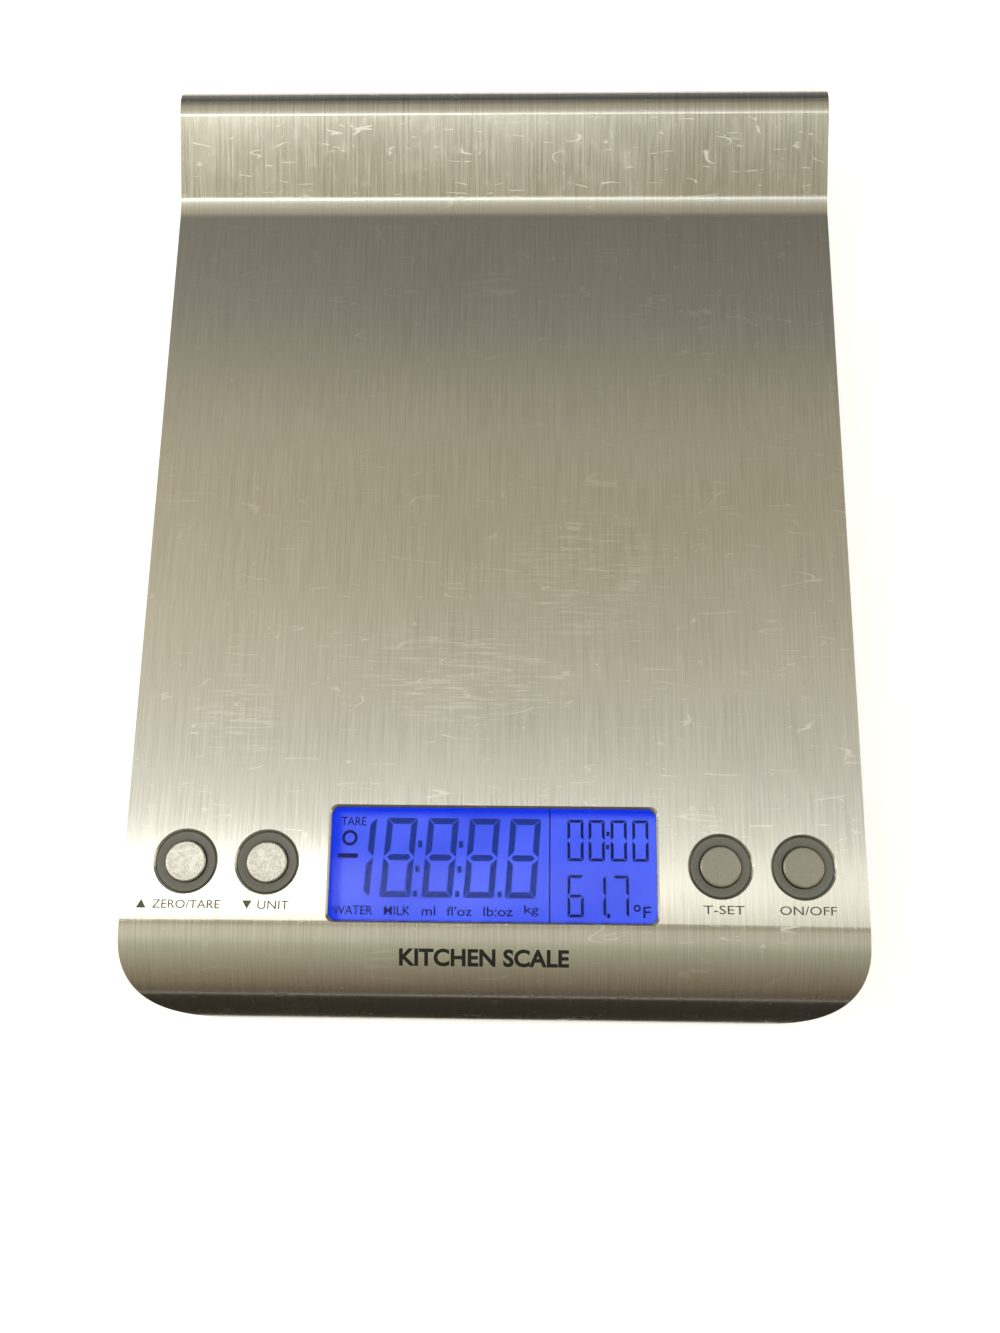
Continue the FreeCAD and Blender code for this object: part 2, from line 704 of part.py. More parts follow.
def key_cap(x):
    """Pressed steel cap over the head of the key."""
    r, t, top, edge = cap_radius, cap_sheet, cap_top, 0.35
    bottom = top - cap_skirt
    s = edge * (1 - math.sqrt(0.5))
    a = [Vector(x, row_y, top), Vector(x + r - edge, row_y, top), Vector(x + r - s, row_y, top - s),
         Vector(x + r, row_y, top - edge), Vector(x + r, row_y, bottom), Vector(x + r - t, row_y, bottom),
         Vector(x + r - t, row_y, top - t), Vector(x, row_y, top - t)]
    edges = [Part.LineSegment(a[0], a[1]).toShape(), Part.Arc(a[1], a[2], a[3]).toShape()]
    edges += [Part.LineSegment(a[i], a[i + 1]).toShape() for i in range(3, 7)]
    edges.append(Part.LineSegment(a[7], a[0]).toShape())
    return Part.Face(Part.Wire(edges)).revolve(Vector(x, row_y, 0), Vector(0, 0, 1), 360)


def key_stem(x):
    """Plastic key under the cap, with the flange that keeps it behind the bezel."""
    head = cap_radius - cap_sheet
    shoulder = cap_top - cap_skirt
    flange_bottom = key_flange_top - 0.9
    points = [(0, plunger_top), (2.0, plunger_top), (2.0, flange_bottom), (key_flange_radius, flange_bottom),
              (key_flange_radius, key_flange_top), (cap_radius - 0.1, key_flange_top),
              (cap_radius - 0.1, shoulder), (head, shoulder), (head,
                                                               cap_top - cap_sheet), (0, cap_top - cap_sheet)]
    return turned(x, row_y, points)


def switch_body(x):
    """Push switch soldered to the board, with the well that its stem slides in."""
    h = switch_size / 2
    body = block(x - h, x + h, row_y - h, row_y + h, board_top, switch_top)
    well = disc(x, row_y, switch_top - 1.6, switch_top + 1, switch_stem_radius + clearance)
    pin_x, pin_y, pin_half = h + 0.35, 2.2, 0.4
    pins = [block(x + sx * pin_x - 0.35, x + sx * pin_x + 0.35, row_y + sy * pin_y - pin_half,
                  row_y + sy * pin_y + pin_half, board_top, board_top + 0.8) for sx in (-1,
                                                                                        1) for sy in (-1, 1)]
    return union([body, *pins]).cut(well)


def switch_plunger(x):
    return disc(x, row_y, switch_top - 1.0, plunger_top, switch_stem_radius)


# ---- feet and load cells --------------------------------------------------------------------------------
def load_cell(fx, fy):
    """Stamped spring-steel plate: outer frame and a middle tongue that the foot pushes up."""
    h = cell_size / 2
    plate = rounded_block(fx - h, fx + h, fy - h, fy + h, cell_base, cell_top, 2.0)
    slot = cell_slot
    tongue_half = cell_tongue / 2
    inner = h - cell_arm
    cuts = [block(fx - inner, fx - inner + slot, fy - inner, fy + inner, cell_base - 1, cell_top + 1),
            block(fx + inner - slot, fx + inner, fy - inner, fy + inner, cell_base - 1, cell_top + 1),
            block(fx - inner, fx + inner, fy - inner, fy - inner + slot, cell_base - 1, cell_top + 1)]
    for s in (-1, 1):
        x0 = fx + s * tongue_half
        cuts.append(block(min(x0, x0 + s * slot), max(x0, x0 + s * slot), fy - inner, fy + inner - 4,
                          cell_base - 1, cell_top + 1))
    return plate.cut(cuts)


def gauge_pads():
    """Potting over the strain gauge on each load cell's tongue root."""
    out = []
    for fx, fy in feet.values():
        y = fy + cell_size / 2 - cell_arm - 3.6
        half = cell_tongue / 2 - 0.8
        out.append(rounded_block(fx - half, fx + half, y, y + gauge_length, cell_top,
                                 cell_top + gauge_height, 1.0))
    return out


def cell_seats():
    """Moulded holders that carry each load cell's frame and hang on the housing's posts."""
    out = []
    fit = cell_size / 2 + clearance
    inner = cell_size / 2 - cell_arm + 1.0
    for fx, fy in feet.values():
        seat = rounded_block(fx - seat_half, fx + seat_half, fy - seat_half, fy + seat_half, cell_base,
                             seat_top, 3.0)
        pocket = rounded_block(fx - fit, fx + fit, fy - fit, fy + fit, cell_base - 1, cell_top, 2.0)
        window = rounded_block(fx - inner, fx + inner, fy - inner, fy + inner, cell_base - 1,
                               seat_top + 1, 1.5)
        out.append(seat.cut([pocket, window]))
    return out


def foot(fx, fy):
    """Moulded foot: its flange stays inside the cover, its stem bears on the load cell's tongue."""
    r, low = foot_radius, pad_thickness - pad_recess
    flange_z = cover_floor + guard_height + 0.15
    flange_top = flange_z + foot_flange_thickness
    points = [(0, pad_thickness), (pad_radius + clearance, pad_thickness), (pad_radius + clearance, low),
              (r - 0.8, low), (r, low + 0.8), (r, flange_z), (r + foot_flange, flange_z),
              (r + foot_flange, flange_top), (foot_nose_radius, flange_top), (foot_nose_radius, cell_base),
              (0, cell_base)]
    return turned(fx, fy, points)


def foot_pad(fx, fy):
    edge = 0.6
    points = [(0, 0), (pad_radius - edge, 0), (pad_radius, edge), (pad_radius, pad_thickness),
              (0, pad_thickness)]
    pad = turned(fx, fy, points)
    inner, outer, deep = pad_groove_inner, pad_groove_outer, pad_groove_depth
    groove = turned(fx, fy, [(inner, -1), (outer, -1), (outer, deep), (inner, deep)])
    return pad.cut(groove)


def cell_wires():
    """Three-core lead from each load cell to the board's rear edge."""
    out = []
    radius = cell_wire_radius
    z0, z1 = cell_top + 1.0, board_under - radius - clearance
    pad_y = row_y + holder_y - 3
    for side in (-1, 1):
        landing = side * (board_half - 16)
        x0 = side * (foot_x - 4)
        y0 = front_foot_y + seat_half + 1.2
        out.append(tube([(x0, y0, z0), (x0 - side * 6, y0 + 7, z0), (landing + side * 2, y0 + 7, z0),
                         (landing, pad_y, z1)], radius))
        x0 = side * (foot_x - seat_half - 1.2)
        lane = side * (bay_half_x + bay_wall + 6)
        out.append(tube([(x0, rear_foot_y, z0), (x0 - side * 8, rear_foot_y - 6, z0), (lane, bay_y1 + 10, z0),
                         (lane - side, bay_y0, z0), (landing - side * 6, pad_y + 12, z0),
                         (landing - side * 6.2, pad_y, z1)], radius))
    return out


# ---- batteries ------------------------------------------------------------------------------------------
def batteries():
    """Two cells side by side, facing opposite ways, each with its raised contact."""
    out = []
    for y, way in zip(battery_rows, (1, -1)):
        half = battery_length / 2
        centre = way * battery_x
        nub = nub_length
        can = Part.makeCylinder(battery_radius, battery_length - nub,
                                Vector(centre - way * half, y, battery_z), Vector(way, 0, 0))
        tip = Part.makeCylinder(nub_radius, nub, Vector(centre + way * (half - nub), y, battery_z),
                                Vector(way, 0, 0))
        ends = [e for e in can.Edges if e.Curve.TypeId == "Part::GeomCircle"]
        out.append(can.makeFillet(0.5, ends).fuse(tip))
    return out


def battery_contacts():
    """Flat nickel-plated plates, one at each end of each cell."""
    out = []
    for y in battery_rows:
        for way in (1, -1):
            x = way * (bay_half_x - contact_thickness)
            out.append(block(min(x, x + way * contact_thickness), max(x, x + way * contact_thickness),
                             y - contact_half_y, y + contact_half_y, battery_z - contact_half_z,
                             battery_z + contact_half_z))
    return out


def coil_wire(wide, narrow, pitch, turns):
    """Centre line of a conical coil about +Z, as short arcs through points on the cone."""
    per_turn = 6
    count = int(turns * per_turn)

    def at(turn):
        angle = 2 * math.pi * turn
        radius = wide + (narrow - wide) * turn / turns
        return Vector(radius * math.cos(angle), radius * math.sin(angle), pitch * turn)

    arcs = [Part.Arc(at(i / per_turn), at((i + 0.5) / per_turn), at((i + 1) / per_turn))
            for i in range(count)]
    return Part.Wire([a.toShape() for a in arcs])


def battery_springs():
    """Conical coil springs that push each cell against its plate."""
    out = []
    turns = 3.5
    pitch = (spring_length - 2 * spring_gauge) / turns
    section = Part.Wire(Part.makeCircle(spring_gauge, Vector(spring_wide, 0, 0), Vector(0, 1, 0)))
    for y, way in zip(battery_rows, (1, -1)):
        spring = coil_wire(spring_wide, spring_narrow, pitch, turns).makePipeShell([section], True, False)
        spring.rotate(Vector(0, 0, 0), Vector(0, 1, 0), 90 * way)
        end = -way * (bay_half_x - contact_thickness - spring_gauge)
        spring.translate(Vector(end, y, battery_z))
        out.append(spring)
    return out


def battery_leads():
    """Red and black leads from the bay's contacts to the board."""
    out = []
    pad_y = row_y + holder_y - 3
    z = bay_roof - 2.2
    for side in (-1, 1):
        x = side * (bay_half_x - 6)
        out.append(tube([(x, bay_y0 - bay_wall - 0.3, z), (x, bay_y0 - bay_wall - 6, z - 0.6),
                         (side * 12, pad_y + 9, board_under - 2.5),
                         (side * 11, pad_y + 1, board_under - lead_radius)], lead_radius))
    return out


def battery_door():
    c = door_clearance
    x1 = bay_half_x - ledge - c
    panel = block(-x1, x1, door_y0 + c, door_y1 - c, ground_gap, cover_floor)
    adds = []
    half, tab_top = door_tab / 2, cover_floor + 0.8
    for s in (-1, 1):
        x = s * x1 * 0.62
        adds.append(block(x - half, x + half, door_y1 - 1.3, door_y1 - c, cover_floor - 0.5, tab_top))
        adds.append(block(x - half, x + half, door_y1 - 1.3, door_y1 + 1.0, tab_top - door_tab_thickness,
                          tab_top))
    door = union([panel, *adds])
    first = door_y0 + 4
    grooves = [block(-groove_length / 2, groove_length / 2, first + groove_pitch * i,
                     first + groove_pitch * i + groove_width, ground_gap - 1, ground_gap + groove_depth)
               for i in range(groove_count)]
    scoop = disc(0, door_y0, ground_gap - 1, ground_gap + scoop_depth, door_scoop_radius)
    slots = [block(s * door_slot_x - door_slot / 2, s * door_slot_x + door_slot / 2, door_y0,
                   door_y0 + door_slot_length, ground_gap - 1, cover_floor + 1) for s in (-1, 1)]
    return door.cut([*grooves, scoop, *slots])


# ---- everything together --------------------------------------------------------------------------------
def assemble():
    parts = {
        "weighing_plate": weighing_plate(),
        "plate_tape": plate_tape(),
        "top_frame": top_frame(),
        "bottom_cover": bottom_cover(),
        "rating_label": rating_label(),
        "cover_screws": cover_screws(),
        "display_window": display_window(),
        "window_gasket": window_gasket(),
        "lcd_front_glass": lcd_front_glass(),
        "lcd_rear_glass": lcd_rear_glass(),
        "backlight_panel": backlight_panel(),
        "backlight_reflector": backlight_reflector(),
        "backlight_led": backlight_led(),
        "lcd_holder": lcd_holder(),
        "zebra_strip": zebra_strip(),
        "main_board": main_board(),
        "chip_blob": chip_blob(),
        "crystal": crystal(),
        "board_chips": board_chips(),
        "thermistor": thermistor(),
        "board_screws": board_screws(),
        "gauge_pads": gauge_pads(),
        "cell_seats": cell_seats(),
        "cell_wires": cell_wires(),
        "batteries": batteries(),
        "battery_contacts": battery_contacts(),
        "battery_springs": battery_springs(),
        "battery_leads": battery_leads(),
        "battery_door": battery_door(),
        "switch_bodies": [switch_body(x) for x in keys.values()],
    }
    for name, x in keys.items():
        parts["bezel_" + name] = bezel(x)
        parts["key_cap_" + name] = key_cap(x)
        parts["key_stem_" + name] = key_stem(x)
        parts["switch_plunger_" + name] = switch_plunger(x)
    for name, (fx, fy) in feet.items():
        parts["load_cell_" + name] = load_cell(fx, fy)
        parts["foot_" + name] = foot(fx, fy)
        parts["foot_pad_" + name] = foot_pad(fx, fy)
    return parts


def export(parts):
    os.makedirs("parts", exist_ok=True)
    for name, made in parts.items():
        shape = Part.makeCompound(made) if isinstance(made, list) else made
        solids = shape.Solids
        if not solids or not all(s.isValid() and s.Volume > 0 for s in solids):
            raise SystemExit(f"{name} is not a valid solid")
        out = solids[0] if len(solids) == 1 else Part.makeCompound(solids)
        out.exportStep(os.path.join("parts", name + ".step"))
    print(len(parts), "sub-parts")


export(assemble())
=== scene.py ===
# Flat digital kitchen scale: bent steel plate, blue display and four round keys on a moulded housing.
import json
import math
import bmesh
import bpy
from mathutils import Matrix, Vector, noise


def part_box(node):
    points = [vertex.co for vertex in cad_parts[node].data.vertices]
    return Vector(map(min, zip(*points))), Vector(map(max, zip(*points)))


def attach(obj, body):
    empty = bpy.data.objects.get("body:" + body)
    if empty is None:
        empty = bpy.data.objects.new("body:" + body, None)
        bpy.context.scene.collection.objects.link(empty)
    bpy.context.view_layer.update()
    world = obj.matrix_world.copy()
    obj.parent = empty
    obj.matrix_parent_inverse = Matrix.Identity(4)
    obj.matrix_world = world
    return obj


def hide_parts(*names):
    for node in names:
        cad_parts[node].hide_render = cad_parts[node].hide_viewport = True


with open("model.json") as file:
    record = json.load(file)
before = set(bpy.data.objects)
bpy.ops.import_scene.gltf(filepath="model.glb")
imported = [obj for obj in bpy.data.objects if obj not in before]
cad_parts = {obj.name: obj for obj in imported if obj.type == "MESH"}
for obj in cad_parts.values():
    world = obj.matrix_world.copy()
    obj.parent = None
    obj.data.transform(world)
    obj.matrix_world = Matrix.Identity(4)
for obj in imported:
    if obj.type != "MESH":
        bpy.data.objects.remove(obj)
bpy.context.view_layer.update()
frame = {"nodes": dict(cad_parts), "record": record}

mm = 0.001
scene = bpy.context.scene
nodes = frame["nodes"]
mounts = {m["name"]: m for m in frame["record"]["mounts"]}
keyNames = ("tare", "unit", "timer", "power")
footNames = ("front_left", "front_right", "rear_left", "rear_right")


def middle(node):
    low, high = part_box(node)
    return (low + high) / 2


# places taken from the frame
plateLow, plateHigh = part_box("weighing_plate")
plateTop = mounts["weighing_surface"]["pos_m"][2]
keySpot = {k: middle("key_cap_" + k) for k in keyNames}
rowY = keySpot["tare"].y
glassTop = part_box("lcd_front_glass")[1].z


# camera, placed in metres and degrees
cameraSet = {
    "place": (0.0090, -0.1158, 0.3183),
    "tilt": 14.60,            # degrees away from straight down
    "yaw": 1.48,
    "roll": 0.37,
    "lens": 33.76,
}


def addCamera():
    data = bpy.data.cameras.new("camera")
    data.lens = cameraSet["lens"]
    data.sensor_width = 36
    data.clip_start = 0.01
    camera = bpy.data.objects.new("camera", data)
    scene.collection.objects.link(camera)
    turn = (Matrix.Rotation(math.radians(cameraSet["tilt"]), 4, "X")
            @ Matrix.Rotation(math.radians(cameraSet["yaw"]), 4, "Y")
            @ Matrix.Rotation(math.radians(cameraSet["roll"]), 4, "Z"))
    camera.matrix_world = Matrix.Translation(cameraSet["place"]) @ turn
    scene.camera = camera


addCamera()


# small tools for modelling by hand
def clearSelection():
    if bpy.context.mode != "OBJECT":
        bpy.ops.object.mode_set(mode="OBJECT")
    bpy.ops.object.select_all(action="DESELECT")


def pickOnly(piece):
    clearSelection()
    piece.select_set(True)
    bpy.context.view_layer.objects.active = piece


def named(name):
    piece = bpy.context.active_object
    piece.name = name
    piece.data.name = name
    return piece


def selectWhere(kind, test):
    # kind is VERT, EDGE or FACE, and the test is on the element's own place or normal
    bpy.ops.mesh.select_all(action="DESELECT")
    bpy.ops.mesh.select_mode(type=kind)
    shape = bpy.context.edit_object.data
    edit = bmesh.from_edit_mesh(shape)
    parts = {"VERT": edit.verts, "EDGE": edit.edges, "FACE": edit.faces}[kind]
    for part in parts:
        if test(part):
            part.select_set(True)
    edit.select_flush_mode()
    bmesh.update_edit_mesh(shape)


def mid(part):
    return sum((v.co for v in part.verts), Vector()) / len(part.verts)


def addBox(name, low, high):
    clearSelection()
    low, high = Vector(low), Vector(high)
    bpy.ops.mesh.primitive_cube_add(size=1, location=(low + high) / 2, scale=high - low)
    piece = named(name)
    bpy.ops.object.transform_apply(location=True, rotation=True, scale=True)
    return piece


def modify(piece, kind, **settings):
    pickOnly(piece)
    added = piece.modifiers.new(kind.lower(), kind)
    for name, value in settings.items():
        setattr(added, name, value)
    bpy.ops.object.modifier_apply(modifier=added.name)


def cutAway(piece, cutter):
    modify(piece, "BOOLEAN", object=cutter, operation="DIFFERENCE", solver="EXACT")
    bpy.data.objects.remove(cutter)


def tidyMesh(piece, angle=35, gap=0.002 * mm):
    pickOnly(piece)
    bpy.ops.object.mode_set(mode="EDIT")
    bpy.ops.mesh.select_all(action="SELECT")
    bpy.ops.mesh.remove_doubles(threshold=gap)
    bpy.ops.mesh.normals_make_consistent(inside=False)
    bpy.ops.object.mode_set(mode="OBJECT")
    bpy.ops.object.shade_smooth_by_angle(angle=math.radians(angle))


def roundEdges(piece, width, segments=2, angle=30):
    modify(piece, "BEVEL", width=width, segments=segments, limit_method="ANGLE",
           angle_limit=math.radians(angle), use_clamp_overlap=True)


def join(name, pieces):
    clearSelection()
    for piece in pieces:
        piece.select_set(True)
    bpy.context.view_layer.objects.active = pieces[0]
    bpy.ops.object.join()
    return named(name)


def copyTo(piece, name, shift):
    made = piece.copy()
    made.data = piece.data.copy()
    made.name = name
    made.data.name = name
    scene.collection.objects.link(made)
    made.data.transform(Matrix.Translation(shift))
    return made


def turned(name, points, place, steps=96):
    # points are (radius, height); the outline is drawn vertex by vertex and spun about the upright
    clearSelection()
    bpy.ops.mesh.primitive_plane_add(size=mm)
    piece = named(name)
    bpy.ops.object.mode_set(mode="EDIT")
    bpy.ops.mesh.select_mode(type="VERT")
    bpy.ops.mesh.select_all(action="SELECT")
    bpy.ops.mesh.merge(type="CENTER")
    bpy.ops.transform.translate(value=(points[0][0], 0, points[0][1]))
    for last, new in zip(points, points[1:]):
        step = (new[0] - last[0], 0, new[1] - last[1])
        bpy.ops.mesh.extrude_vertices_move(TRANSFORM_OT_translate={"value": step})
    bpy.ops.mesh.select_all(action="SELECT")
    bpy.ops.mesh.spin(steps=steps, angle=math.tau, center=(0, 0, 0), axis=(0, 0, 1))
    bpy.ops.mesh.select_all(action="SELECT")
    bpy.ops.mesh.remove_doubles(threshold=0.001 * mm)
    bpy.ops.mesh.normals_make_consistent(inside=False)
    bpy.ops.object.mode_set(mode="OBJECT")
    piece.data.transform(Matrix.Translation(place))
    return piece


def arcPoints(centre, radius, start, end, count):
    # points of an arc in the outline; 0 degrees points outwards and 90 up
    turns = [math.radians(start + (end - start) * i / count) for i in range(count + 1)]
    return [(centre[0] + radius * math.cos(t), centre[1] + radius * math.sin(t)) for t in turns]


def lettering(name, words, centre, width, height, z, bold=0.0, deep=0.012):
    # words of thin ink, lying flat: centre and sizes in metres
    clearSelection()
    bpy.ops.object.text_add()
    piece = named(name)
    piece.data.body = words
    piece.data.size = 10 * mm        # any size: it is fitted below
    piece.data.offset = bold * mm
    piece.data.resolution_u = 4
    piece.data.extrude = deep / 2 * mm
    bpy.ops.object.convert(target="MESH")
    piece = named(name)
    corners = [v.co for v in piece.data.vertices]
    low = Vector([min(c[i] for c in corners) for i in range(3)])
    high = Vector([max(c[i] for c in corners) for i in range(3)])
    size = high - low
    fit = Matrix.Diagonal((width / size.x, height / size.y, 1, 1))
    fit = fit @ Matrix.Translation(-(low + high) / 2)
    piece.data.transform(Matrix.Translation((centre[0], centre[1], z)) @ fit)
    return piece


# weighing plate, with the same bends as the frame's plate, in millimetres and degrees
plateSet = {
    "sheet": 0.9,
    "rollRadius": 23.5,
    "rollSweep": 72,
    "rollCorner": 24,         # corner of the flat blank that the roll is wrapped from
    "rampAngle": 18.2,
    "valleyRadius": 20,
    "crestRadius": 14,
    "lipRadius": 5,
    "lipSweep": 85,
    "lipCorner": 6,
    "hole": 7.2,
    "break": 0.5,             # chamfer round the openings
    "window": (77.2, 26.7, 2.0),
    "edge": 0.14,
    "cutDepth": 3,            # the cutters reach this far down and 2 above
    "cornerSteps": 28,
    "plainStep": 1.2,
    "valleySteps": 24,
    "crestSteps": 14,
}
rollRadius = plateSet["rollRadius"] * mm
rollY = plateLow.y + rollRadius * math.sin(math.radians(plateSet["rollSweep"]))
rollZ = plateTop - rollRadius


def bendEdge(centreY, centreZ, angles):
    # spins the selected edge about a line along X, one short step at a time
    for angle in angles:
        bpy.ops.mesh.spin(steps=1, angle=angle, center=(0, centreY, centreZ), axis=(-1, 0, 0))


def bendToCorner(centreY, centreZ, radius, sweep, corner, way):
    # as bendEdge, and narrows each new edge so that the blank's corner stays round
    length = radius * math.radians(sweep)
    start = length - corner
    before, wide = 0.0, plateHigh.x
    plain = max(2, round(start / (plateSet["plainStep"] * mm)))
    stops = [start * (i + 1) / plain for i in range(plain)]
    count = plateSet["cornerSteps"]
    stops += [start + corner * math.sin(math.radians(90 * (i + 1) / count)) for i in range(count)]
    for along in stops:
        past = max(0.0, along - start)
        new = plateHigh.x - (corner - math.sqrt(max(corner ** 2 - past ** 2, 0)))
        bpy.ops.mesh.spin(steps=1, angle=way * (along - before) / radius, center=(0, centreY, centreZ),
                          axis=(-1, 0, 0))
        bpy.ops.transform.resize(value=(new / wide, 1, 1), center_override=(0, centreY, centreZ))
        before, wide = along, new


def holeCutter(x, radius):
    clearSelection()
    low, chamfer = plateTop - plateSet["cutDepth"] * mm, plateSet["break"] * mm
    bpy.ops.mesh.primitive_cylinder_add(vertices=96, radius=radius, depth=plateTop - chamfer - low,
                                        location=(x, rowY, (plateTop - chamfer + low) / 2))
    cutter = named("cutter")
    flareTop(chamfer, (radius + chamfer) / radius, (radius + chamfer) / radius, (x, rowY, plateTop))
    return cutter


def flareTop(chamfer, growX, growY, centre):
    bpy.ops.object.transform_apply(location=True, rotation=True, scale=True)
    bpy.ops.object.mode_set(mode="EDIT")
    selectWhere("FACE", lambda f: f.normal.z > 0.9)
    bpy.ops.mesh.extrude_region_move(TRANSFORM_OT_translate={"value": (0, 0, chamfer)})
    bpy.ops.transform.resize(value=(growX, growY, 1), center_override=centre)
    bpy.ops.mesh.extrude_region_move(TRANSFORM_OT_translate={"value": (0, 0, 2 * mm)})
    bpy.ops.object.mode_set(mode="OBJECT")


def windowCutter():
    wide, deep, corner = (v * mm for v in plateSet["window"])
    chamfer = plateSet["break"] * mm
    cutter = addBox("cutter", (-wide / 2, rowY - deep / 2, plateTop - plateSet["cutDepth"] * mm),
                    (wide / 2, rowY + deep / 2, plateTop - chamfer))
    bpy.ops.object.mode_set(mode="EDIT")
    selectWhere("EDGE", lambda e: abs(e.verts[0].co.z - e.verts[1].co.z) > mm)
    bpy.ops.mesh.bevel(offset=corner, segments=8, affect="EDGES")
    bpy.ops.object.mode_set(mode="OBJECT")
    flareTop(chamfer, 1 + 2 * chamfer / wide, 1 + 2 * chamfer / deep, (0, rowY, plateTop))
    return cutter


def steelPlate():
    p = plateSet
    valley, crest, lip = (p[k] * mm for k in ("valleyRadius", "crestRadius", "lipRadius"))
    ramp = math.radians(p["rampAngle"])
    crestY = plateHigh.y - lip * math.sin(math.radians(p["lipSweep"]))
    crestZ = plateHigh.z
    rise = crestZ - plateTop
    straight = (rise - (valley + crest) * (1 - math.cos(ramp))) / math.sin(ramp)
    valleyY = crestY - (valley + crest) * math.sin(ramp) - straight * math.cos(ramp)
    clearSelection()
    bpy.ops.mesh.primitive_plane_add(size=1, location=(0, (rollY + valleyY) / 2, plateTop))
    piece = named("steelPlate")
    piece.scale = (2 * plateHigh.x, valleyY - rollY, 1)
    bpy.ops.object.transform_apply(location=True, rotation=True, scale=True)
    bpy.ops.object.mode_set(mode="EDIT")
    selectWhere("EDGE", lambda e: abs(mid(e).y - rollY) < 0.1 * mm)
    bendToCorner(rollY, rollZ, rollRadius, p["rollSweep"], p["rollCorner"] * mm, 1)
    selectWhere("EDGE", lambda e: abs(mid(e).y - valleyY) < 0.1 * mm)
    bendEdge(valleyY, plateTop + valley, [ramp / p["valleySteps"]] * p["valleySteps"])
    bpy.ops.mesh.extrude_region_move(TRANSFORM_OT_translate={
        "value": (0, straight * math.cos(ramp), straight * math.sin(ramp))})
    bendEdge(crestY, crestZ - crest, [-ramp / p["crestSteps"]] * p["crestSteps"])
    bendToCorner(crestY, crestZ - lip, lip, p["lipSweep"], p["lipCorner"] * mm, -1)
    bpy.ops.object.mode_set(mode="OBJECT")
    tidyMesh(piece, angle=30)
    faces = piece.data.polygons
    if max(faces, key=lambda f: f.area).normal.z < 0:
        pickOnly(piece)
        bpy.ops.object.mode_set(mode="EDIT")
        bpy.ops.mesh.select_all(action="SELECT")
        bpy.ops.mesh.flip_normals()
        bpy.ops.object.mode_set(mode="OBJECT")
    modify(piece, "SOLIDIFY", thickness=p["sheet"] * mm, offset=-1, use_even_offset=True)
    for spot in keySpot.values():
        cutAway(piece, holeCutter(spot.x, p["hole"] * mm))
    cutAway(piece, windowCutter())
    roundEdges(piece, p["edge"] * mm, segments=2, angle=28)
    tidyMesh(piece, angle=30, gap=0.0005 * mm)
    modify(piece, "WEIGHTED_NORMAL", mode="FACE_AREA", keep_sharp=True)
    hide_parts("weighing_plate")
    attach(piece, "housing")
    return piece


plate = steelPlate()
print("plate made")

# keys: pressed steel cap in a moulded ring, in millimetres
capSet = {
    "sheet": 0.4,
    "edge": 0.4,
    "dish": 0.05,             # the pressed top sinks a little
    "dents": {"tare": 0.05, "unit": 0.035, "timer": 0.012, "power": 0.012},
    "dentSize": 1.6,
}
ringSet = {
    "outer": 7.1,
    "bore": 4.95,
    "flange": 8.6,
    "drop": 0.4,              # plate to the ring's outer edge
    "slope": 0.3,             # outer edge to inner edge
    "tube": 6.7,              # radius of the tube below the flange
    "gap": 0.1,               # plate's underside to the flange
    "flangeFoot": 1.4,        # plate's underside to the flange's foot
    "outerRound": 0.25,
    "innerRound": 0.2,
    "knees": [(1.2, -0.10), (0.45, 0.03)],  # past the bore, and down from the outer or up from the inner edge
}


def keyCaps():
    low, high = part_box("key_cap_tare")
    radius = (high.x - low.x) / 2
    sheet, edge, dish = (capSet[k] * mm for k in ("sheet", "edge", "dish"))
    flat = radius - edge
    rings = [(flat * i / 10, high.z - dish * (1 - (i / 10) ** 2)) for i in range(11)]
    shoulder = arcPoints((flat, high.z - edge), edge, 90, 0, 6)[1:]
    inside = [(radius, low.z), (radius - sheet, low.z), (radius - sheet, high.z - sheet), (0, high.z - sheet)]
    model = turned("keyCap", rings + shoulder + inside, (0, rowY, 0))
    made = []
    for name, spot in keySpot.items():
        cap = copyTo(model, "keyCap_" + name, (spot.x, 0, 0))
        depth = capSet["dents"][name] * mm
        for v in cap.data.vertices:
            near = 1 - ((v.co.x - spot.x) ** 2 + (v.co.y - rowY) ** 2) / flat ** 2
            if v.co.z > high.z - 2.5 * dish and near > 0:
                bump = noise.noise(Vector((v.co.x, v.co.y, 0)) / (capSet["dentSize"] * mm))
                v.co.z -= depth * (0.5 + 0.5 * bump) * min(1, 4 * near)
        tidyMesh(cap, angle=40)
        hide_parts("key_cap_" + name)
        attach(cap, "key_" + name)
        made.append(cap)
    bpy.data.objects.remove(model)
    return made


def keyRings():
    r = {k: v * mm for k, v in ringSet.items() if k != "knees"}
    top = plateTop - r["drop"]
    inner = top - r["slope"]
    under = plateTop - plateSet["sheet"] * mm
    outer, bore = r["outerRound"], r["innerRound"]
    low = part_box("bezel_tare")[0].z
    outline = [(r["bore"], low), (r["tube"], low), (r["tube"], under - r["flangeFoot"]),
               (r["flange"], under - r["flangeFoot"]), (r["flange"], under - r["gap"]),
               (r["outer"], under - r["gap"])]
    outline += arcPoints((r["outer"] - outer, top - outer), outer, 0, 90, 5)
    outline += [(r["bore"] + past * mm, edge + off * mm)
                for (past, off), edge in zip(ringSet["knees"], (top, inner))]
    outline += arcPoints((r["bore"] + bore, inner - bore), bore, 90, 180, 4)
    model = turned("keyRing", outline + outline[:1], (0, rowY, 0), steps=120)
    tidyMesh(model, angle=38)
    made = []
    for name, spot in keySpot.items():
        ring = copyTo(model, "keyRing_" + name, (spot.x, 0, 0))
        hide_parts("bezel_" + name)
        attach(ring, "housing")
        made.append(ring)
    bpy.data.objects.remove(model)
    return made


caps = keyCaps()
rings = keyRings()
print("keys made")

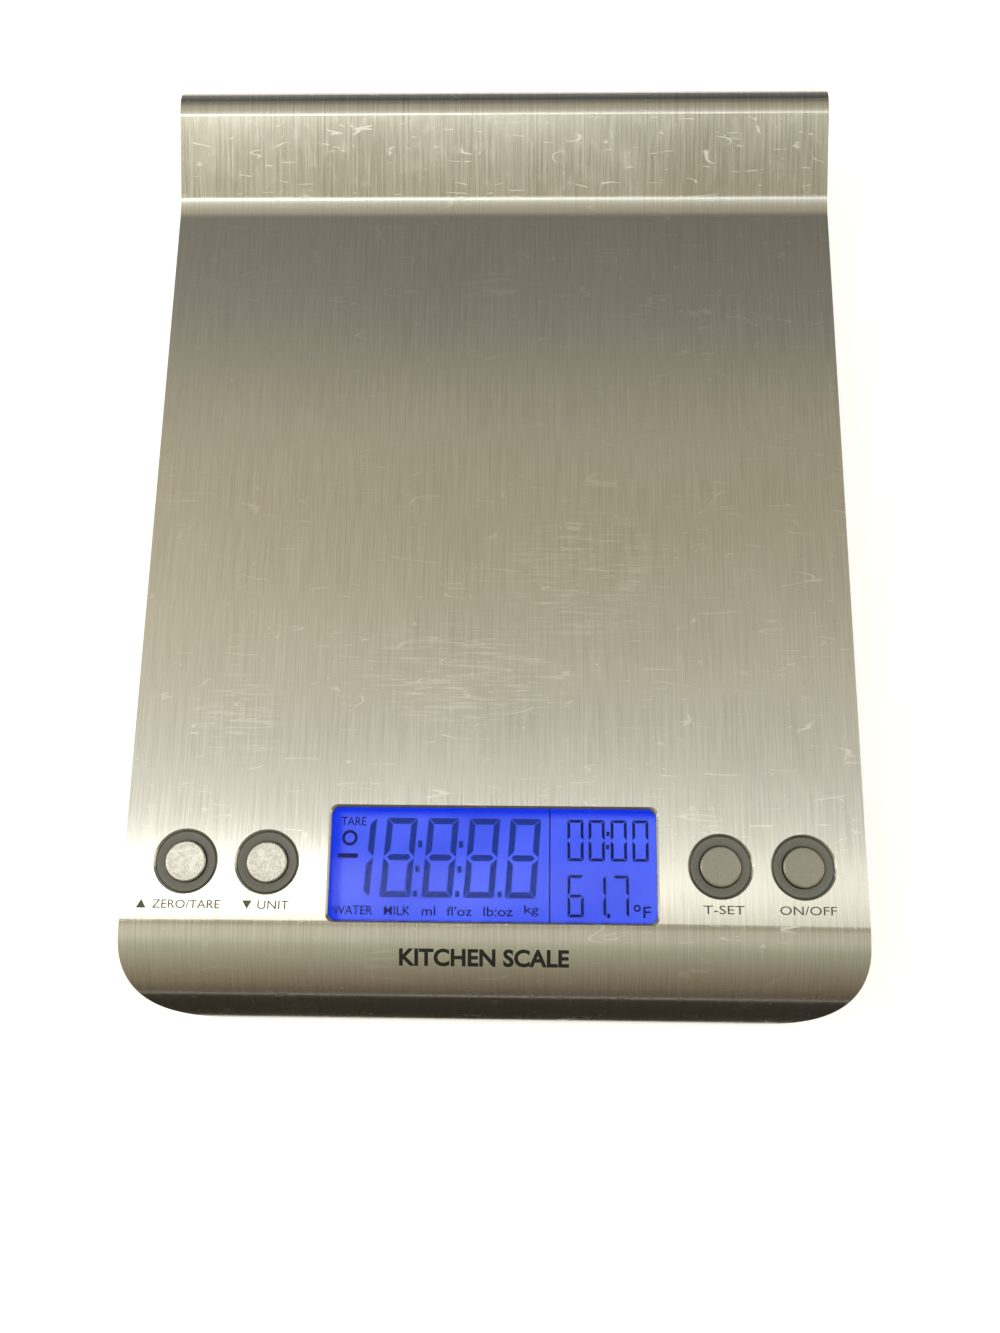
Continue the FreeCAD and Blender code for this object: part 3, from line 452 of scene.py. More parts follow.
# display: window, bars and words, in millimetres
lensSet = {"corner": 1.9, "flange": 2.0, "edge": 0.25, "seat": 0.4}


def displayLens():
    low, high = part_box("display_window")
    flange = lensSet["flange"] * mm
    seat = plateTop - (plateSet["sheet"] + lensSet["seat"]) * mm
    piece = addBox("displayLens", low, (high.x, high.y, seat))
    bpy.ops.object.mode_set(mode="EDIT")
    selectWhere("EDGE", lambda e: abs(e.verts[0].co.z - e.verts[1].co.z) > 0.5 * mm)
    bpy.ops.mesh.bevel(offset=(lensSet["corner"] * mm + flange), segments=8, affect="EDGES")
    selectWhere("FACE", lambda f: f.normal.z > 0.9)
    bpy.ops.mesh.inset(thickness=flange)
    bpy.ops.mesh.extrude_region_move(TRANSFORM_OT_translate={"value": (0, 0, high.z - seat)})
    bpy.ops.object.mode_set(mode="OBJECT")
    roundEdges(piece, lensSet["edge"] * mm, segments=3, angle=50)
    tidyMesh(piece, angle=32)
    modify(piece, "WEIGHTED_NORMAL", mode="FACE_AREA", keep_sharp=True)
    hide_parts("display_window")
    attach(piece, "housing")
    return piece


# digits in millimetres from the middle of the row of keys: which bars are lit, centre x and y
inkSet = {
    "thick": 0.02,
    "big": {"height": 18.8, "width": 7.3, "stroke": 1.45, "lean": 4.0},
    "small": {"height": 9.8, "width": 3.84, "stroke": 0.68, "lean": 0.0},
    "gap": 0.13,
}
allBars = "abcdefg"
bigDigits = [(allBars, -22.5, 1.7), (allBars, -12.6, 1.7), (allBars, -2.7, 1.7), (allBars, 7.1, 1.7),
             ("bc", -32.3, 1.7)]
smallDigits = [("abcdef", 19.55, 6.1), ("abcdef", 24.6, 6.1), ("abcdef", 29.85, 6.1), ("abcdef", 35.0, 6.1),
               ("acdefg", 19.55, -7.0), ("bc", 24.8, -7.0), ("abc", 30.2, -7.0)]
bigDots = [(-17.5, 4.84, 1.0, 1.6), (-18.0, -1.06, 1.0, 1.5), (-18.4, -6.84, 1.0, 1.4),
           (-7.74, 4.84, 1.0, 1.6), (-8.0, -1.06, 1.0, 1.5), (-8.4, -6.84, 1.0, 1.4), (1.6, -6.84, 1.0, 1.4)]
smallDots = [(27.3, 7.7, 0.75, 1.0), (27.2, 4.6, 0.75, 1.0), (27.3, -11.5, 0.75, 1.0)]
legends = [("TARE", -33.6, 10.2, 6.0, 2.06), ("WATER", -33.05, -10.8, 9.4, 2.1),
           ("MILK", -22.5, -10.8, 6.2, 2.1), ("ml", -15.1, -10.8, 3.2, 2.2),
           ("fl'oz", -7.85, -10.8, 6.0, 2.2), ("lb:oz", 1.33, -10.8, 6.95, 2.2),
           ("kg", 9.15, -10.5, 3.4, 2.6), ("F", 36.3, -10.6, 1.8, 2.67)]
zeroMark, degreeMark = (-34.4, 6.2, 1.86, 1.2), (34.0, -9.67, 0.85, 0.45)    # x, y, outer and inner radius
minusSign, divider = (-34.7, 1.95, 4.7, 1.1), (13.45, 0, 0.3, 26.3)          # x, y, width, height


def addBar(length, stroke, place, upright, inner):
    # one bar of a digit; inner is the side on which its ends are cut back, or 0 for both
    clearSelection()
    bpy.ops.mesh.primitive_plane_add(size=1)
    bar = named("bar")
    bar.data.transform(Matrix.Diagonal((length, stroke, 1, 1)))
    bpy.ops.object.mode_set(mode="EDIT")
    if inner:
        selectWhere("VERT", lambda v: v.co.y * inner > 0)
        bpy.ops.transform.resize(value=((length - 2 * stroke) / length, 1, 1), center_override=(0, 0, 0))
    else:
        bpy.ops.mesh.select_all(action="SELECT")
        bpy.ops.mesh.bevel(offset=stroke * 0.49, segments=1, affect="VERTICES")
    bpy.ops.object.mode_set(mode="OBJECT")
    turn = Matrix.Rotation(math.radians(90), 4, "Z") if upright else Matrix.Identity(4)
    bar.data.transform(Matrix.Translation(place) @ turn)
    return bar


def addDigit(lit, x, y, look):
    width, stroke, gap = look["width"] * mm, look["stroke"] * mm, inkSet["gap"] * mm
    half = look["height"] * mm / 2
    side = (width - stroke) / 2
    long, wide = half - 2 * gap, width - 2 * gap
    bars = {
        "a": (wide, (0, half - stroke / 2, 0), False, -1),
        "d": (wide, (0, stroke / 2 - half, 0), False, 1),
        "g": (wide - stroke, (0, 0, 0), False, 0),
        "f": (long, (-side, half / 2, 0), True, -1),
        "e": (long, (-side, -half / 2, 0), True, -1),
        "b": (long, (side, half / 2, 0), True, 1),
        "c": (long, (side, -half / 2, 0), True, 1),
    }
    made = [addBar(bars[k][0], stroke, *bars[k][1:]) for k in lit]
    lean = Matrix.Identity(4)
    lean[0][1] = math.tan(math.radians(look["lean"]))
    for bar in made:
        bar.data.transform(Matrix.Translation((x * mm, rowY + y * mm, glassTop)) @ lean)
    return made


def addDot(x, y, wide, tall):
    clearSelection()
    bpy.ops.mesh.primitive_plane_add(size=1)
    dot = named("dot")
    dot.data.transform(Matrix.Translation((x * mm, rowY + y * mm, glassTop))
                       @ Matrix.Diagonal((wide * mm, tall * mm, 1, 1)))
    return dot


def addZeroRing(x, y, outer, inner):
    clearSelection()
    bpy.ops.mesh.primitive_circle_add(vertices=40, radius=outer * mm, fill_type="NGON",
                                      location=(x * mm, rowY + y * mm, glassTop))
    ring = named("ring")
    bpy.ops.object.transform_apply(location=True, rotation=True, scale=True)
    bpy.ops.object.mode_set(mode="EDIT")
    bpy.ops.mesh.select_all(action="SELECT")
    bpy.ops.mesh.inset(thickness=(outer - inner) * mm)
    bpy.ops.mesh.delete(type="FACE")
    bpy.ops.object.mode_set(mode="OBJECT")
    return ring


def inkPiece(name, flat):
    piece = join(name, flat)
    pickOnly(piece)
    bpy.ops.object.mode_set(mode="EDIT")
    bpy.ops.mesh.select_all(action="SELECT")
    bpy.ops.mesh.remove_doubles(threshold=0.001 * mm)
    selectWhere("FACE", lambda f: f.normal.z < 0)
    bpy.ops.mesh.flip_normals()
    bpy.ops.object.mode_set(mode="OBJECT")
    modify(piece, "SOLIDIFY", thickness=inkSet["thick"] * mm, offset=1)
    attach(piece, "housing")
    return piece


def displayInk():
    big = [bar for lit, x, y in bigDigits for bar in addDigit(lit, x, y, inkSet["big"])]
    big += [addDot(*dot) for dot in bigDots]
    small = [bar for lit, x, y in smallDigits for bar in addDigit(lit, x, y, inkSet["small"])]
    small += [addDot(*dot) for dot in smallDots]
    small += [addZeroRing(*zeroMark), addZeroRing(*degreeMark), addDot(*minusSign), addDot(*divider)]
    words = [lettering("word", w, (x * mm, rowY + y * mm), wide * mm, tall * mm, glassTop + 0.01 * mm,
                       0.06, inkSet["thick"]) for w, x, y, wide, tall in legends]
    legend = join("displayLegends", words)
    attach(legend, "housing")
    return inkPiece("displayWeightDigits", big), inkPiece("displayClockDigits", small), legend


lens = displayLens()
weightInk, clockInk, legendInk = displayInk()
print("display made")

# printing on the plate: words, centre x, width and height in millimetres
printSet = {
    "below": 10.0,            # row of keys to the small words
    "words": [("ZERO/TARE", -71.96, 16.0, 2.0), ("UNIT", -51.4, 7.4, 2.0), ("T-SET", 53.9, 9.55, 2.0),
              ("ON/OFF", 73.4, 13.1, 2.0)],
    "arrows": [(-82.6, 1), (-57.6, -1)],
    "arrow": 1.35,            # radius of the three-cornered marks
    "name": ("KITCHEN SCALE", -1.8, 39.5, 4.0),
    "nameY": -108.2,
}


def platePrint():
    y = rowY - printSet["below"] * mm
    made = [lettering("word", w, (x * mm, y), wide * mm, tall * mm, plateTop + 0.004 * mm, 0.02)
            for w, x, wide, tall in printSet["words"]]
    for x, way in printSet["arrows"]:
        clearSelection()
        bpy.ops.mesh.primitive_circle_add(vertices=3, radius=printSet["arrow"] * mm, fill_type="NGON")
        arrow = named("arrow")
        arrow.data.transform(Matrix.Translation((x * mm, y - way * 0.3 * mm, plateTop - 0.002 * mm))
                             @ Matrix.Diagonal((1, way, 1, 1)))
        modify(arrow, "SOLIDIFY", thickness=0.012 * mm, offset=0)
        made.append(arrow)
    piece = join("keyWords", made)
    tidyMesh(piece, angle=30, gap=0.0005 * mm)
    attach(piece, "housing")
    return piece


def nameOnRoll():
    # flat letters cut into thin slices, then laid round the roll
    words, x, wide, tall = printSet["name"]
    y = printSet["nameY"] * mm
    piece = lettering("productWords", words, (x * mm, y), wide * mm, tall * mm, plateTop, 0.32, 0.012)
    pickOnly(piece)
    bpy.ops.object.mode_set(mode="EDIT")
    for i in range(1, 10):
        bpy.ops.mesh.select_all(action="SELECT")
        bpy.ops.mesh.bisect(plane_co=(0, y + (i / 10 - 0.5) * tall * mm, 0), plane_no=(0, 1, 0))
    bpy.ops.object.mode_set(mode="OBJECT")
    for v in piece.data.vertices:
        over = v.co.z - plateTop
        lift = rollRadius + max(over, 0) * 1.5 + 0.002 * mm
        side = v.co.y - rollY
        v.co.z = rollZ + math.sqrt(lift ** 2 - side ** 2)
    tidyMesh(piece, angle=40, gap=0.0005 * mm)
    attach(piece, "housing")
    return piece


keyWords = platePrint()
productWords = nameOnRoll()
print("printing made")

# underside: foot pads, battery door and label, in millimetres
footSet = {"ridges": 5, "ridge": 0.35, "round": 0.8, "rim": 0.4, "pitch": 1.5,
           "profile": (0.15, 0.6, 0.75)}      # where each groove's floor starts, ends and rises again
doorSet = {
    "thick": 2.0,
    "hinge": 1.3,             # back edge to the hinge line
    "slotX": 8.0, "slot": 0.8, "slotLength": 9.0,
    "ribs": 5, "rib": 0.7, "ribPitch": 1.8, "ribLength": 11.0, "ribStart": 3.4, "ribDepth": 0.4,
    "thumb": (5.5, -1.6, -3.9),   # ball that cuts the finger hollow: radius, centre from the front edge
    "tabX": 0.62, "tab": 4.0, "tabThick": 0.6,
    "edge": 0.2,
}
labelLines = [("DIGITAL KITCHEN SCALE", 7.2, 34.0, 2.4), ("MAX 5 kg / 11 lb    d = 1 g", 2.6, 34.0, 1.9),
              ("2 x 1.5 V  AAA", -1.6, 19.0, 1.9)]


def footPads():
    low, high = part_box("foot_pad_front_left")
    radius, tall = (high.x - low.x) / 2, high.z - low.z
    edge = footSet["round"] * mm
    outline = [(0, high.z), (radius, high.z)]
    outline += arcPoints((radius - edge, low.z + edge), edge, 0, -90, 6)
    start, ridge = radius - edge - footSet["rim"] * mm, footSet["ridge"] * mm
    foot, end, rise = (v * mm for v in footSet["profile"])
    for i in range(footSet["ridges"]):
        r = start - footSet["pitch"] * i * mm
        outline += [(r, low.z), (r - foot, low.z + ridge), (r - end, low.z + ridge), (r - rise, low.z)]
    outline += [(0, low.z)]
    model = turned("footPad", outline, (0, 0, 0), steps=72)
    tidyMesh(model, angle=34)
    made = []
    for name in footNames:
        spot = middle("foot_pad_" + name)
        pad = copyTo(model, "footPad_" + name, (spot.x, spot.y, 0))
        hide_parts("foot_pad_" + name)
        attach(pad, "foot_unit_" + name)
        made.append(pad)
    bpy.data.objects.remove(model)
    return made


def batteryDoor():
    low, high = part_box("battery_door")
    floor = low.z
    inside = floor + doorSet["thick"] * mm
    hingeY = high.y - doorSet["hinge"] * mm
    piece = addBox("batteryDoor", low, (high.x, hingeY, inside))
    cutters = []
    for side in (-1, 1):
        x = side * doorSet["slotX"] * mm
        half = doorSet["slot"] / 2 * mm
        cutters.append(addBox("cutter", (x - half, low.y - mm, floor - mm),
                              (x + half, low.y + doorSet["slotLength"] * mm, inside + mm)))
    for i in range(doorSet["ribs"]):
        y = low.y + (doorSet["ribStart"] + doorSet["ribPitch"] * i) * mm
        half = doorSet["ribLength"] / 2 * mm
        cutters.append(addBox("cutter", (-half, y, floor - mm),
                              (half, y + doorSet["rib"] * mm, floor + doorSet["ribDepth"] * mm)))
    clearSelection()
    ball, out, down = (v * mm for v in doorSet["thumb"])
    bpy.ops.mesh.primitive_uv_sphere_add(segments=48, ring_count=24, radius=ball,
                                         location=(0, low.y + out, floor + down))
    cutters.append(named("cutter"))
    for cutter in cutters:
        cutAway(piece, cutter)
    tabs = []
    for side in (-1, 1):
        x, half = side * high.x * doorSet["tabX"], doorSet["tab"] * mm
        tip = high.z - doorSet["tabThick"] * mm
        tabs.append(addBox("tab", (x - half, hingeY - mm, tip), (x + half, high.y, high.z)))
        tabs.append(addBox("tabRoot", (x - half, hingeY - mm, inside - 0.2 * mm),
                           (x + half, hingeY, tip + 0.3 * mm)))
    for tab in tabs:
        modify(piece, "BOOLEAN", object=tab, operation="UNION", solver="EXACT")
        bpy.data.objects.remove(tab)
    roundEdges(piece, doorSet["edge"] * mm, segments=2, angle=50)
    tidyMesh(piece, angle=35, gap=0.0005 * mm)
    modify(piece, "WEIGHTED_NORMAL", mode="FACE_AREA", keep_sharp=True)
    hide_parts("battery_door")
    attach(piece, "battery_cover")
    return piece


def labelPrint():
    spot = middle("rating_label")
    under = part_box("rating_label")[0].z
    made = []
    for words, y, wide, tall in labelLines:
        word = lettering("word", words, (0, y * mm), wide * mm, tall * mm, 0, 0.03, 0.01)
        word.data.transform(Matrix.Rotation(math.pi, 4, "Y"))
        made.append(word)
    piece = join("labelWords", made)
    piece.data.transform(Matrix.Translation((spot.x, spot.y - 2.5 * mm, under - 0.004 * mm)))
    tidyMesh(piece, angle=30, gap=0.0005 * mm)
    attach(piece, "housing")
    return piece


pads = footPads()
door = batteryDoor()
labelWords = labelPrint()
print("underside made")


# colours, nodes and the materials made from them
def linear(hexText):
    # sRGB hex to linear colour
    values = [int(hexText[i:i + 2], 16) / 255 for i in (1, 3, 5)]
    return tuple(v / 12.92 if v <= 0.04045 else ((v + 0.055) / 1.055) ** 2.4 for v in values) + (1.0,)


def put(tree, kind, inputs=(), out=None, **settings):
    # adds one node with its settings; inputs are values or sockets, by name or in order.
    # Gives the node, or one of its outputs
    made = tree.nodes.new("ShaderNode" + kind)
    for name, value in settings.items():
        setattr(made, name, value)
    for key, value in inputs.items() if isinstance(inputs, dict) else enumerate(inputs):
        if isinstance(value, bpy.types.NodeSocket):
            tree.links.new(value, made.inputs[key])
        else:
            made.inputs[key].default_value = value
    return made if out is None else made.outputs[out]


def startMaterial(name, **values):
    material = bpy.data.materials.new(name)
    material.use_nodes = True
    tree = material.node_tree
    tree.nodes.clear()
    shader = put(tree, "BsdfPrincipled")
    for key, value in values.items():
        shader.inputs[key.replace("_", " ")].default_value = value
    put(tree, "OutputMaterial", {"Surface": shader.outputs[0]})
    return material, tree, shader, put(tree, "TexCoord", out="Object")


def perMm(size):
    # pattern scale for a repeat of that many millimetres
    return 1 / (size * mm)


def pattern(tree, place, scale, detail=3.0, turn=(0, 0, 0), shift=(0, 0, 0), **more):
    # uneven pattern with its repeat, in millimetres, along X, Y and Z
    spot = put(tree, "Mapping",
               {"Vector": place, "Location": shift, "Rotation": turn,
                "Scale": tuple(perMm(s) for s in scale)}, out=0, vector_type="POINT")
    inputs = {"Vector": spot, "Scale": 1.0, "Detail": detail}
    inputs.update(more)
    return put(tree, "TexNoise", inputs, out="Fac")


# stainless steel sheet, brushed along Y on a belt: reflections smear sideways, with fine streaks along it
steelSet = {
    "light": "#cdcac0",
    "dark": "#b9b5aa",
    "scuff": "#e2dfd6",
    "streak": 0.35,           # millimetres across; real grit lines are finer, and would not show
    "fine": 0.14,
    "streakLength": 22,
    "roughness": (0.16, 0.22),
    "anisotropic": 0.96,
    "smear": (38, 55),        # hand marks
    # scuffed patches: centre x and y, half width and height
    "bruise": [(-79, 4, 9, 5), (-3, 66, 8, 9), (-62, -52, 13, 14), (-8, -40, 32, 16), (22, -15, 26, 22),
               (30, 74, 8, 5)],
    # scratches: size and stretch of the curves, their turn, how rarely they show and how thin they are
    "scratches": [(11, 6, 25, 0.57, 0.006), (8, 7, -38, 0.58, 0.006), (6, 6, 72, 0.60, 0.008),
                  (9, 7, 118, 0.58, 0.006), (4, 5, 5, 0.64, 0.012)],
    "scratchShare": 0.65,
    "scuffShare": 0.5,
}


def scratchLines(tree, place, size, stretch, turn, keep, thin):
    # thin curved lines where a stretched noise crosses its middle, kept only in patches
    lines = pattern(tree, place, (size * stretch, size, size), 1.5, (0, 0, math.radians(turn)),
                    Distortion=0.05)
    away = put(tree, "Math", (put(tree, "Math", (lines, 0.5), out=0, operation="SUBTRACT"),), out=0,
               operation="ABSOLUTE")
    line = put(tree, "MapRange", (away, 0.0, thin, 1.0, 0.0), out=0)
    patch = pattern(tree, place, (size * 0.9, size * 0.9, size), 2.0, (0, 0, math.radians(turn + 30)),
                    shift=(turn, keep, 0))
    return put(tree, "Math", (line, put(tree, "MapRange", (patch, keep, keep + 0.05, 0.0, 1.0), out=0)),
               out=0, operation="MULTIPLY")


def steelMaterial():
    s = steelSet
    material, tree, shader, place = startMaterial("brushedStainlessSteel", Metallic=1.0,
                                                   Anisotropic=s["anisotropic"])
    length = s["streakLength"]
    streak = pattern(tree, place, (s["streak"], length, length), 3.0)
    fine = pattern(tree, place, (s["fine"], length * 0.5, length * 0.5), 2.0, shift=(3, 7, 0))
    grain = put(tree, "Math",
                (put(tree, "Math", (streak, 0.55), out=0, operation="MULTIPLY"),
                 put(tree, "Math", (fine, 0.45), out=0, operation="MULTIPLY")), out=0, operation="ADD")
    smear = pattern(tree, place, (s["smear"][0], s["smear"][1], 40), 5.0, (0, 0, 0.5), Distortion=0.6)
    spots = pattern(tree, place, (3.2, 4.5, 4), 4.0, (0, 0, 1.1))
    worn = None
    for x, y, wide, tall in s["bruise"]:
        shape = put(tree, "Mapping",
                    {"Vector": place, "Location": (-x / wide, -y / tall, 0),
                     "Scale": (perMm(wide), perMm(tall), 0)}, out=0)
        ball = put(tree, "TexGradient", {"Vector": shape}, out="Fac", gradient_type="SPHERICAL")
        worn = ball if worn is None else put(tree, "Math", (worn, ball), out=0, operation="MAXIMUM")
    wisps = pattern(tree, place, (9, 0.5, 9), 3.0, (0, 0, math.radians(28)), Distortion=0.8)
    worn = put(tree, "Math",
               (put(tree, "MapRange", (worn, 0.0, 0.5, 0, 1), out=0),
                put(tree, "MapRange", (wisps, 0.52, 0.68, 0, 1), out=0)), out=0, operation="MULTIPLY",
               use_clamp=True)
    marks = None
    for scratch in s["scratches"]:
        line = scratchLines(tree, place, *scratch)
        marks = line if marks is None else put(tree, "Math", (marks, line), out=0, operation="MAXIMUM")
    scuffs = put(tree, "Math",
                 (put(tree, "Math", (marks, s["scratchShare"]), out=0, operation="MULTIPLY"),
                  put(tree, "Math", (worn, s["scuffShare"]), out=0, operation="MULTIPLY")), out=0,
                 operation="MAXIMUM", use_clamp=True)
    tone = put(tree, "Mix",
               {0: put(tree, "MapRange", (grain, 0.36, 0.64, 0.0, 1.0), out=0), 6: linear(s["dark"]),
                7: linear(s["light"])}, out=2, data_type="RGBA")
    tone = put(tree, "Mix",
               {0: put(tree, "MapRange", (smear, 0.45, 0.75, 0.0, 0.35), out=0), 6: tone,
                7: linear(s["light"])}, out=2, data_type="RGBA")
    tone = put(tree, "Mix", {0: scuffs, 6: tone, 7: linear(s["scuff"])}, out=2, data_type="RGBA")
    rough = put(tree, "MapRange", (grain, 0.3, 0.7, s["roughness"][0], s["roughness"][1]), out=0)
    rough = put(tree, "Math", (rough, put(tree, "MapRange", (smear, 0.3, 0.7, -0.02, 0.05), out=0)), out=0,
                operation="ADD")
    rough = put(tree, "Math", (rough, put(tree, "Math", (scuffs, 0.25), out=0, operation="MULTIPLY")),
                out=0, operation="ADD")
    rough = put(tree, "Math", (rough, put(tree, "MapRange", (spots, 0.55, 0.7, 0.0, 0.04), out=0)), out=0,
                operation="ADD", use_clamp=True)
    tree.links.new(tone, shader.inputs["Base Color"])
    tree.links.new(rough, shader.inputs["Roughness"])
    # brushing runs along Y, so a highlight is drawn out across it, on the bends too
    normal = put(tree, "NewGeometry", out="Normal")
    along = put(tree, "VectorMath", {0: (0, 1, 0), 1: normal}, out=0, operation="CROSS_PRODUCT")
    along = put(tree, "VectorMath", {0: along}, out=0, operation="NORMALIZE")
    tree.links.new(along, shader.inputs["Tangent"])
    relief = put(tree, "Math",
                 (put(tree, "Math", (grain, 0.35), out=0, operation="MULTIPLY"),
                  put(tree, "Math", (scuffs, -0.5), out=0, operation="MULTIPLY")), out=0, operation="ADD")
    bump = put(tree, "Bump", {"Height": relief, "Strength": 0.25, "Distance": 0.012 * mm})
    tree.links.new(bump.outputs[0], shader.inputs["Normal"])
    return material


# satin steel of the key caps, pressed and rubbed by fingers
def capMaterial(name, wear, low, high):
    material, tree, shader, place = startMaterial(name, Metallic=1.0)
    cloud = pattern(tree, place, (1.5, 1.5, 2), 4.0, Distortion=0.7)
    flecks = pattern(tree, place, (0.32, 0.5, 1), 3.0, (0, 0, 0.8))
    nicks = put(tree, "Math",
                (put(tree, "MapRange", (cloud, 0.45, 0.62, 0, 1), out=0),
                 put(tree, "MapRange", (flecks, 0.5, 0.62, 0, 1), out=0)), out=0, operation="MULTIPLY")
    nicks = put(tree, "Math", (nicks, wear), out=0, operation="MULTIPLY")
    tone = put(tree, "Mix",
               {0: put(tree, "MapRange", (cloud, 0.3, 0.7, 0, 1), out=0), 6: linear(low), 7: linear(high)},
               out=2, data_type="RGBA")
    tone = put(tree, "Mix", {0: nicks, 6: tone, 7: linear("#f2efe6")}, out=2, data_type="RGBA")
    rough = put(tree, "Math",
                (put(tree, "MapRange", (cloud, 0.3, 0.7, 0.16, 0.3), out=0),
                 put(tree, "Math", (nicks, 0.35), out=0, operation="MULTIPLY")), out=0, operation="ADD",
                use_clamp=True)
    tree.links.new(tone, shader.inputs["Base Color"])
    tree.links.new(rough, shader.inputs["Roughness"])
    relief = put(tree, "Bump",
                 {"Height": put(tree, "Math", (flecks, nicks), out=0, operation="ADD"),
                  "Strength": 0.04 + 0.4 * wear, "Distance": 0.008 * mm})
    tree.links.new(relief.outputs[0], shader.inputs["Normal"])
    return material


# plastics, rubber, enamel and board: colour pair, roughness, texture size and depth in millimetres
plainSet = {
    "abs_housing": {"title": "sparkTexturedAbs", "low": "#7f807d", "high": "#929390", "rough": (0.46, 0.60),
                    "size": 0.45, "depth": 0.03, "ior": 1.54},
    "abs_ring": {"title": "satinAbs", "low": "#72716c", "high": "#84837c", "rough": (0.34, 0.46),
                 "size": 0.5, "depth": 0.01, "ior": 1.54},
    "acetal": {"title": "mouldedAcetal", "low": "#d9d8d0", "high": "#ecebe4", "rough": (0.30, 0.42),
               "size": 0.8, "depth": 0.01, "ior": 1.48},
    "foam_tape": {"title": "acrylicFoamTape", "low": "#2b2b2c", "high": "#3d3d3e", "rough": (0.82, 0.95),
                  "size": 0.35, "depth": 0.06, "ior": 1.47},
    "silicone": {"title": "mouldedSilicone", "low": "#b8b8b4", "high": "#cfcfca", "rough": (0.50, 0.62),
                 "size": 0.6, "depth": 0.01, "ior": 1.41},
    "switch_black": {"title": "glassFilledNylon", "low": "#161617", "high": "#222224", "rough": (0.42, 0.56),
                     "size": 0.3, "depth": 0.015, "ior": 1.53},
    "switch_stem": {"title": "mouldedNylon", "low": "#1b1b1c", "high": "#2b2b2d", "rough": (0.35, 0.48),
                    "size": 0.4, "depth": 0.01, "ior": 1.53},
    "wire_pvc": {"title": "pvcWireJacket", "low": "#8e2420", "high": "#b33029", "rough": (0.38, 0.50),
                 "size": 1.2, "depth": 0.01, "ior": 1.53},
    "rubber_pad": {"title": "thermoplasticRubber", "low": "#3a3b3c", "high": "#4a4b4c", "rough": (0.70, 0.86),
                   "size": 0.28, "depth": 0.02, "ior": 1.50},
    "epoxy_glass": {"title": "solderMaskedBoard", "low": "#0d4a2a", "high": "#15603a", "rough": (0.28, 0.42),
                    "size": 0.9, "depth": 0.01, "ior": 1.55},
    "black_epoxy": {"title": "pottingEpoxy", "low": "#0f0f10", "high": "#1a1a1c", "rough": (0.16, 0.30),
                    "size": 1.6, "depth": 0.03, "ior": 1.55},
    "white_film": {"title": "whiteReflectorFilm", "low": "#e6e6e4", "high": "#f4f4f2", "rough": (0.45, 0.6),
                   "size": 0.7, "depth": 0.005, "ior": 1.57},
    "label_film": {"title": "silverPolyesterLabel", "low": "#c4c5c4", "high": "#d3d4d3",
                   "rough": (0.30, 0.40), "size": 0.6, "depth": 0.004, "ior": 1.57},
    "led_blue": {"title": "blueLampResin", "low": "#2b46d8", "high": "#4a63f0", "rough": (0.12, 0.22),
                 "size": 0.7, "depth": 0.004, "ior": 1.53},
}


def plainMaterial(look):
    material, tree, shader, place = startMaterial(look["title"], IOR=look["ior"])
    size = look["size"]
    grain = pattern(tree, place, (size, size, size), 4.0)
    cloud = pattern(tree, place, (size * 40, size * 30, size * 30), 3.0, Distortion=0.4)
    share = put(tree, "Math",
                (put(tree, "Math", (grain, 0.6), out=0, operation="MULTIPLY"),
                 put(tree, "Math", (cloud, 0.4), out=0, operation="MULTIPLY")), out=0, operation="ADD")
    tree.links.new(put(tree, "Mix",
                       {0: put(tree, "MapRange", (share, 0.3, 0.7, 0, 1), out=0), 6: linear(look["low"]),
                        7: linear(look["high"])}, out=2, data_type="RGBA"), shader.inputs["Base Color"])
    tree.links.new(put(tree, "MapRange", (grain, 0.3, 0.7, *look["rough"]), out=0),
                   shader.inputs["Roughness"])
    bump = put(tree, "Bump", {"Height": grain, "Strength": 0.6, "Distance": look["depth"] * mm})
    tree.links.new(bump.outputs[0], shader.inputs["Normal"])
    return material


# bare metals: colour pair, roughness and the direction of the drawing or rolling marks
metalSet = {
    "zinc_screw": {"title": "zincPlatedSteel", "low": "#9ea0a3", "high": "#c9cbcd", "rough": (0.26, 0.42),
                   "marks": (0.25, 0.25, 2)},
    "spring_steel": {"title": "coldRolledSpringSteel", "low": "#8d8c88", "high": "#b7b6b1",
                     "rough": (0.22, 0.36), "marks": (0.2, 6, 6)},
    "tin_can": {"title": "tinPlatedCan", "low": "#b5b3ad", "high": "#d8d6d0", "rough": (0.2, 0.32),
                "marks": (0.3, 3, 3)},
}


def metalMaterial(look):
    material, tree, shader, place = startMaterial(look["title"], Metallic=1.0)
    marks = pattern(tree, place, look["marks"], 3.0)
    cloud = pattern(tree, place, (3, 4, 4), 3.0)
    tree.links.new(put(tree, "Mix",
                       {0: put(tree, "MapRange", (cloud, 0.3, 0.7, 0, 1), out=0), 6: linear(look["low"]),
                        7: linear(look["high"])}, out=2, data_type="RGBA"), shader.inputs["Base Color"])
    tree.links.new(put(tree, "MapRange", (marks, 0.3, 0.7, *look["rough"]), out=0),
                   shader.inputs["Roughness"])
    bump = put(tree, "Bump", {"Height": marks, "Strength": 0.3, "Distance": 0.01 * mm})
    tree.links.new(bump.outputs[0], shader.inputs["Normal"])
    return material


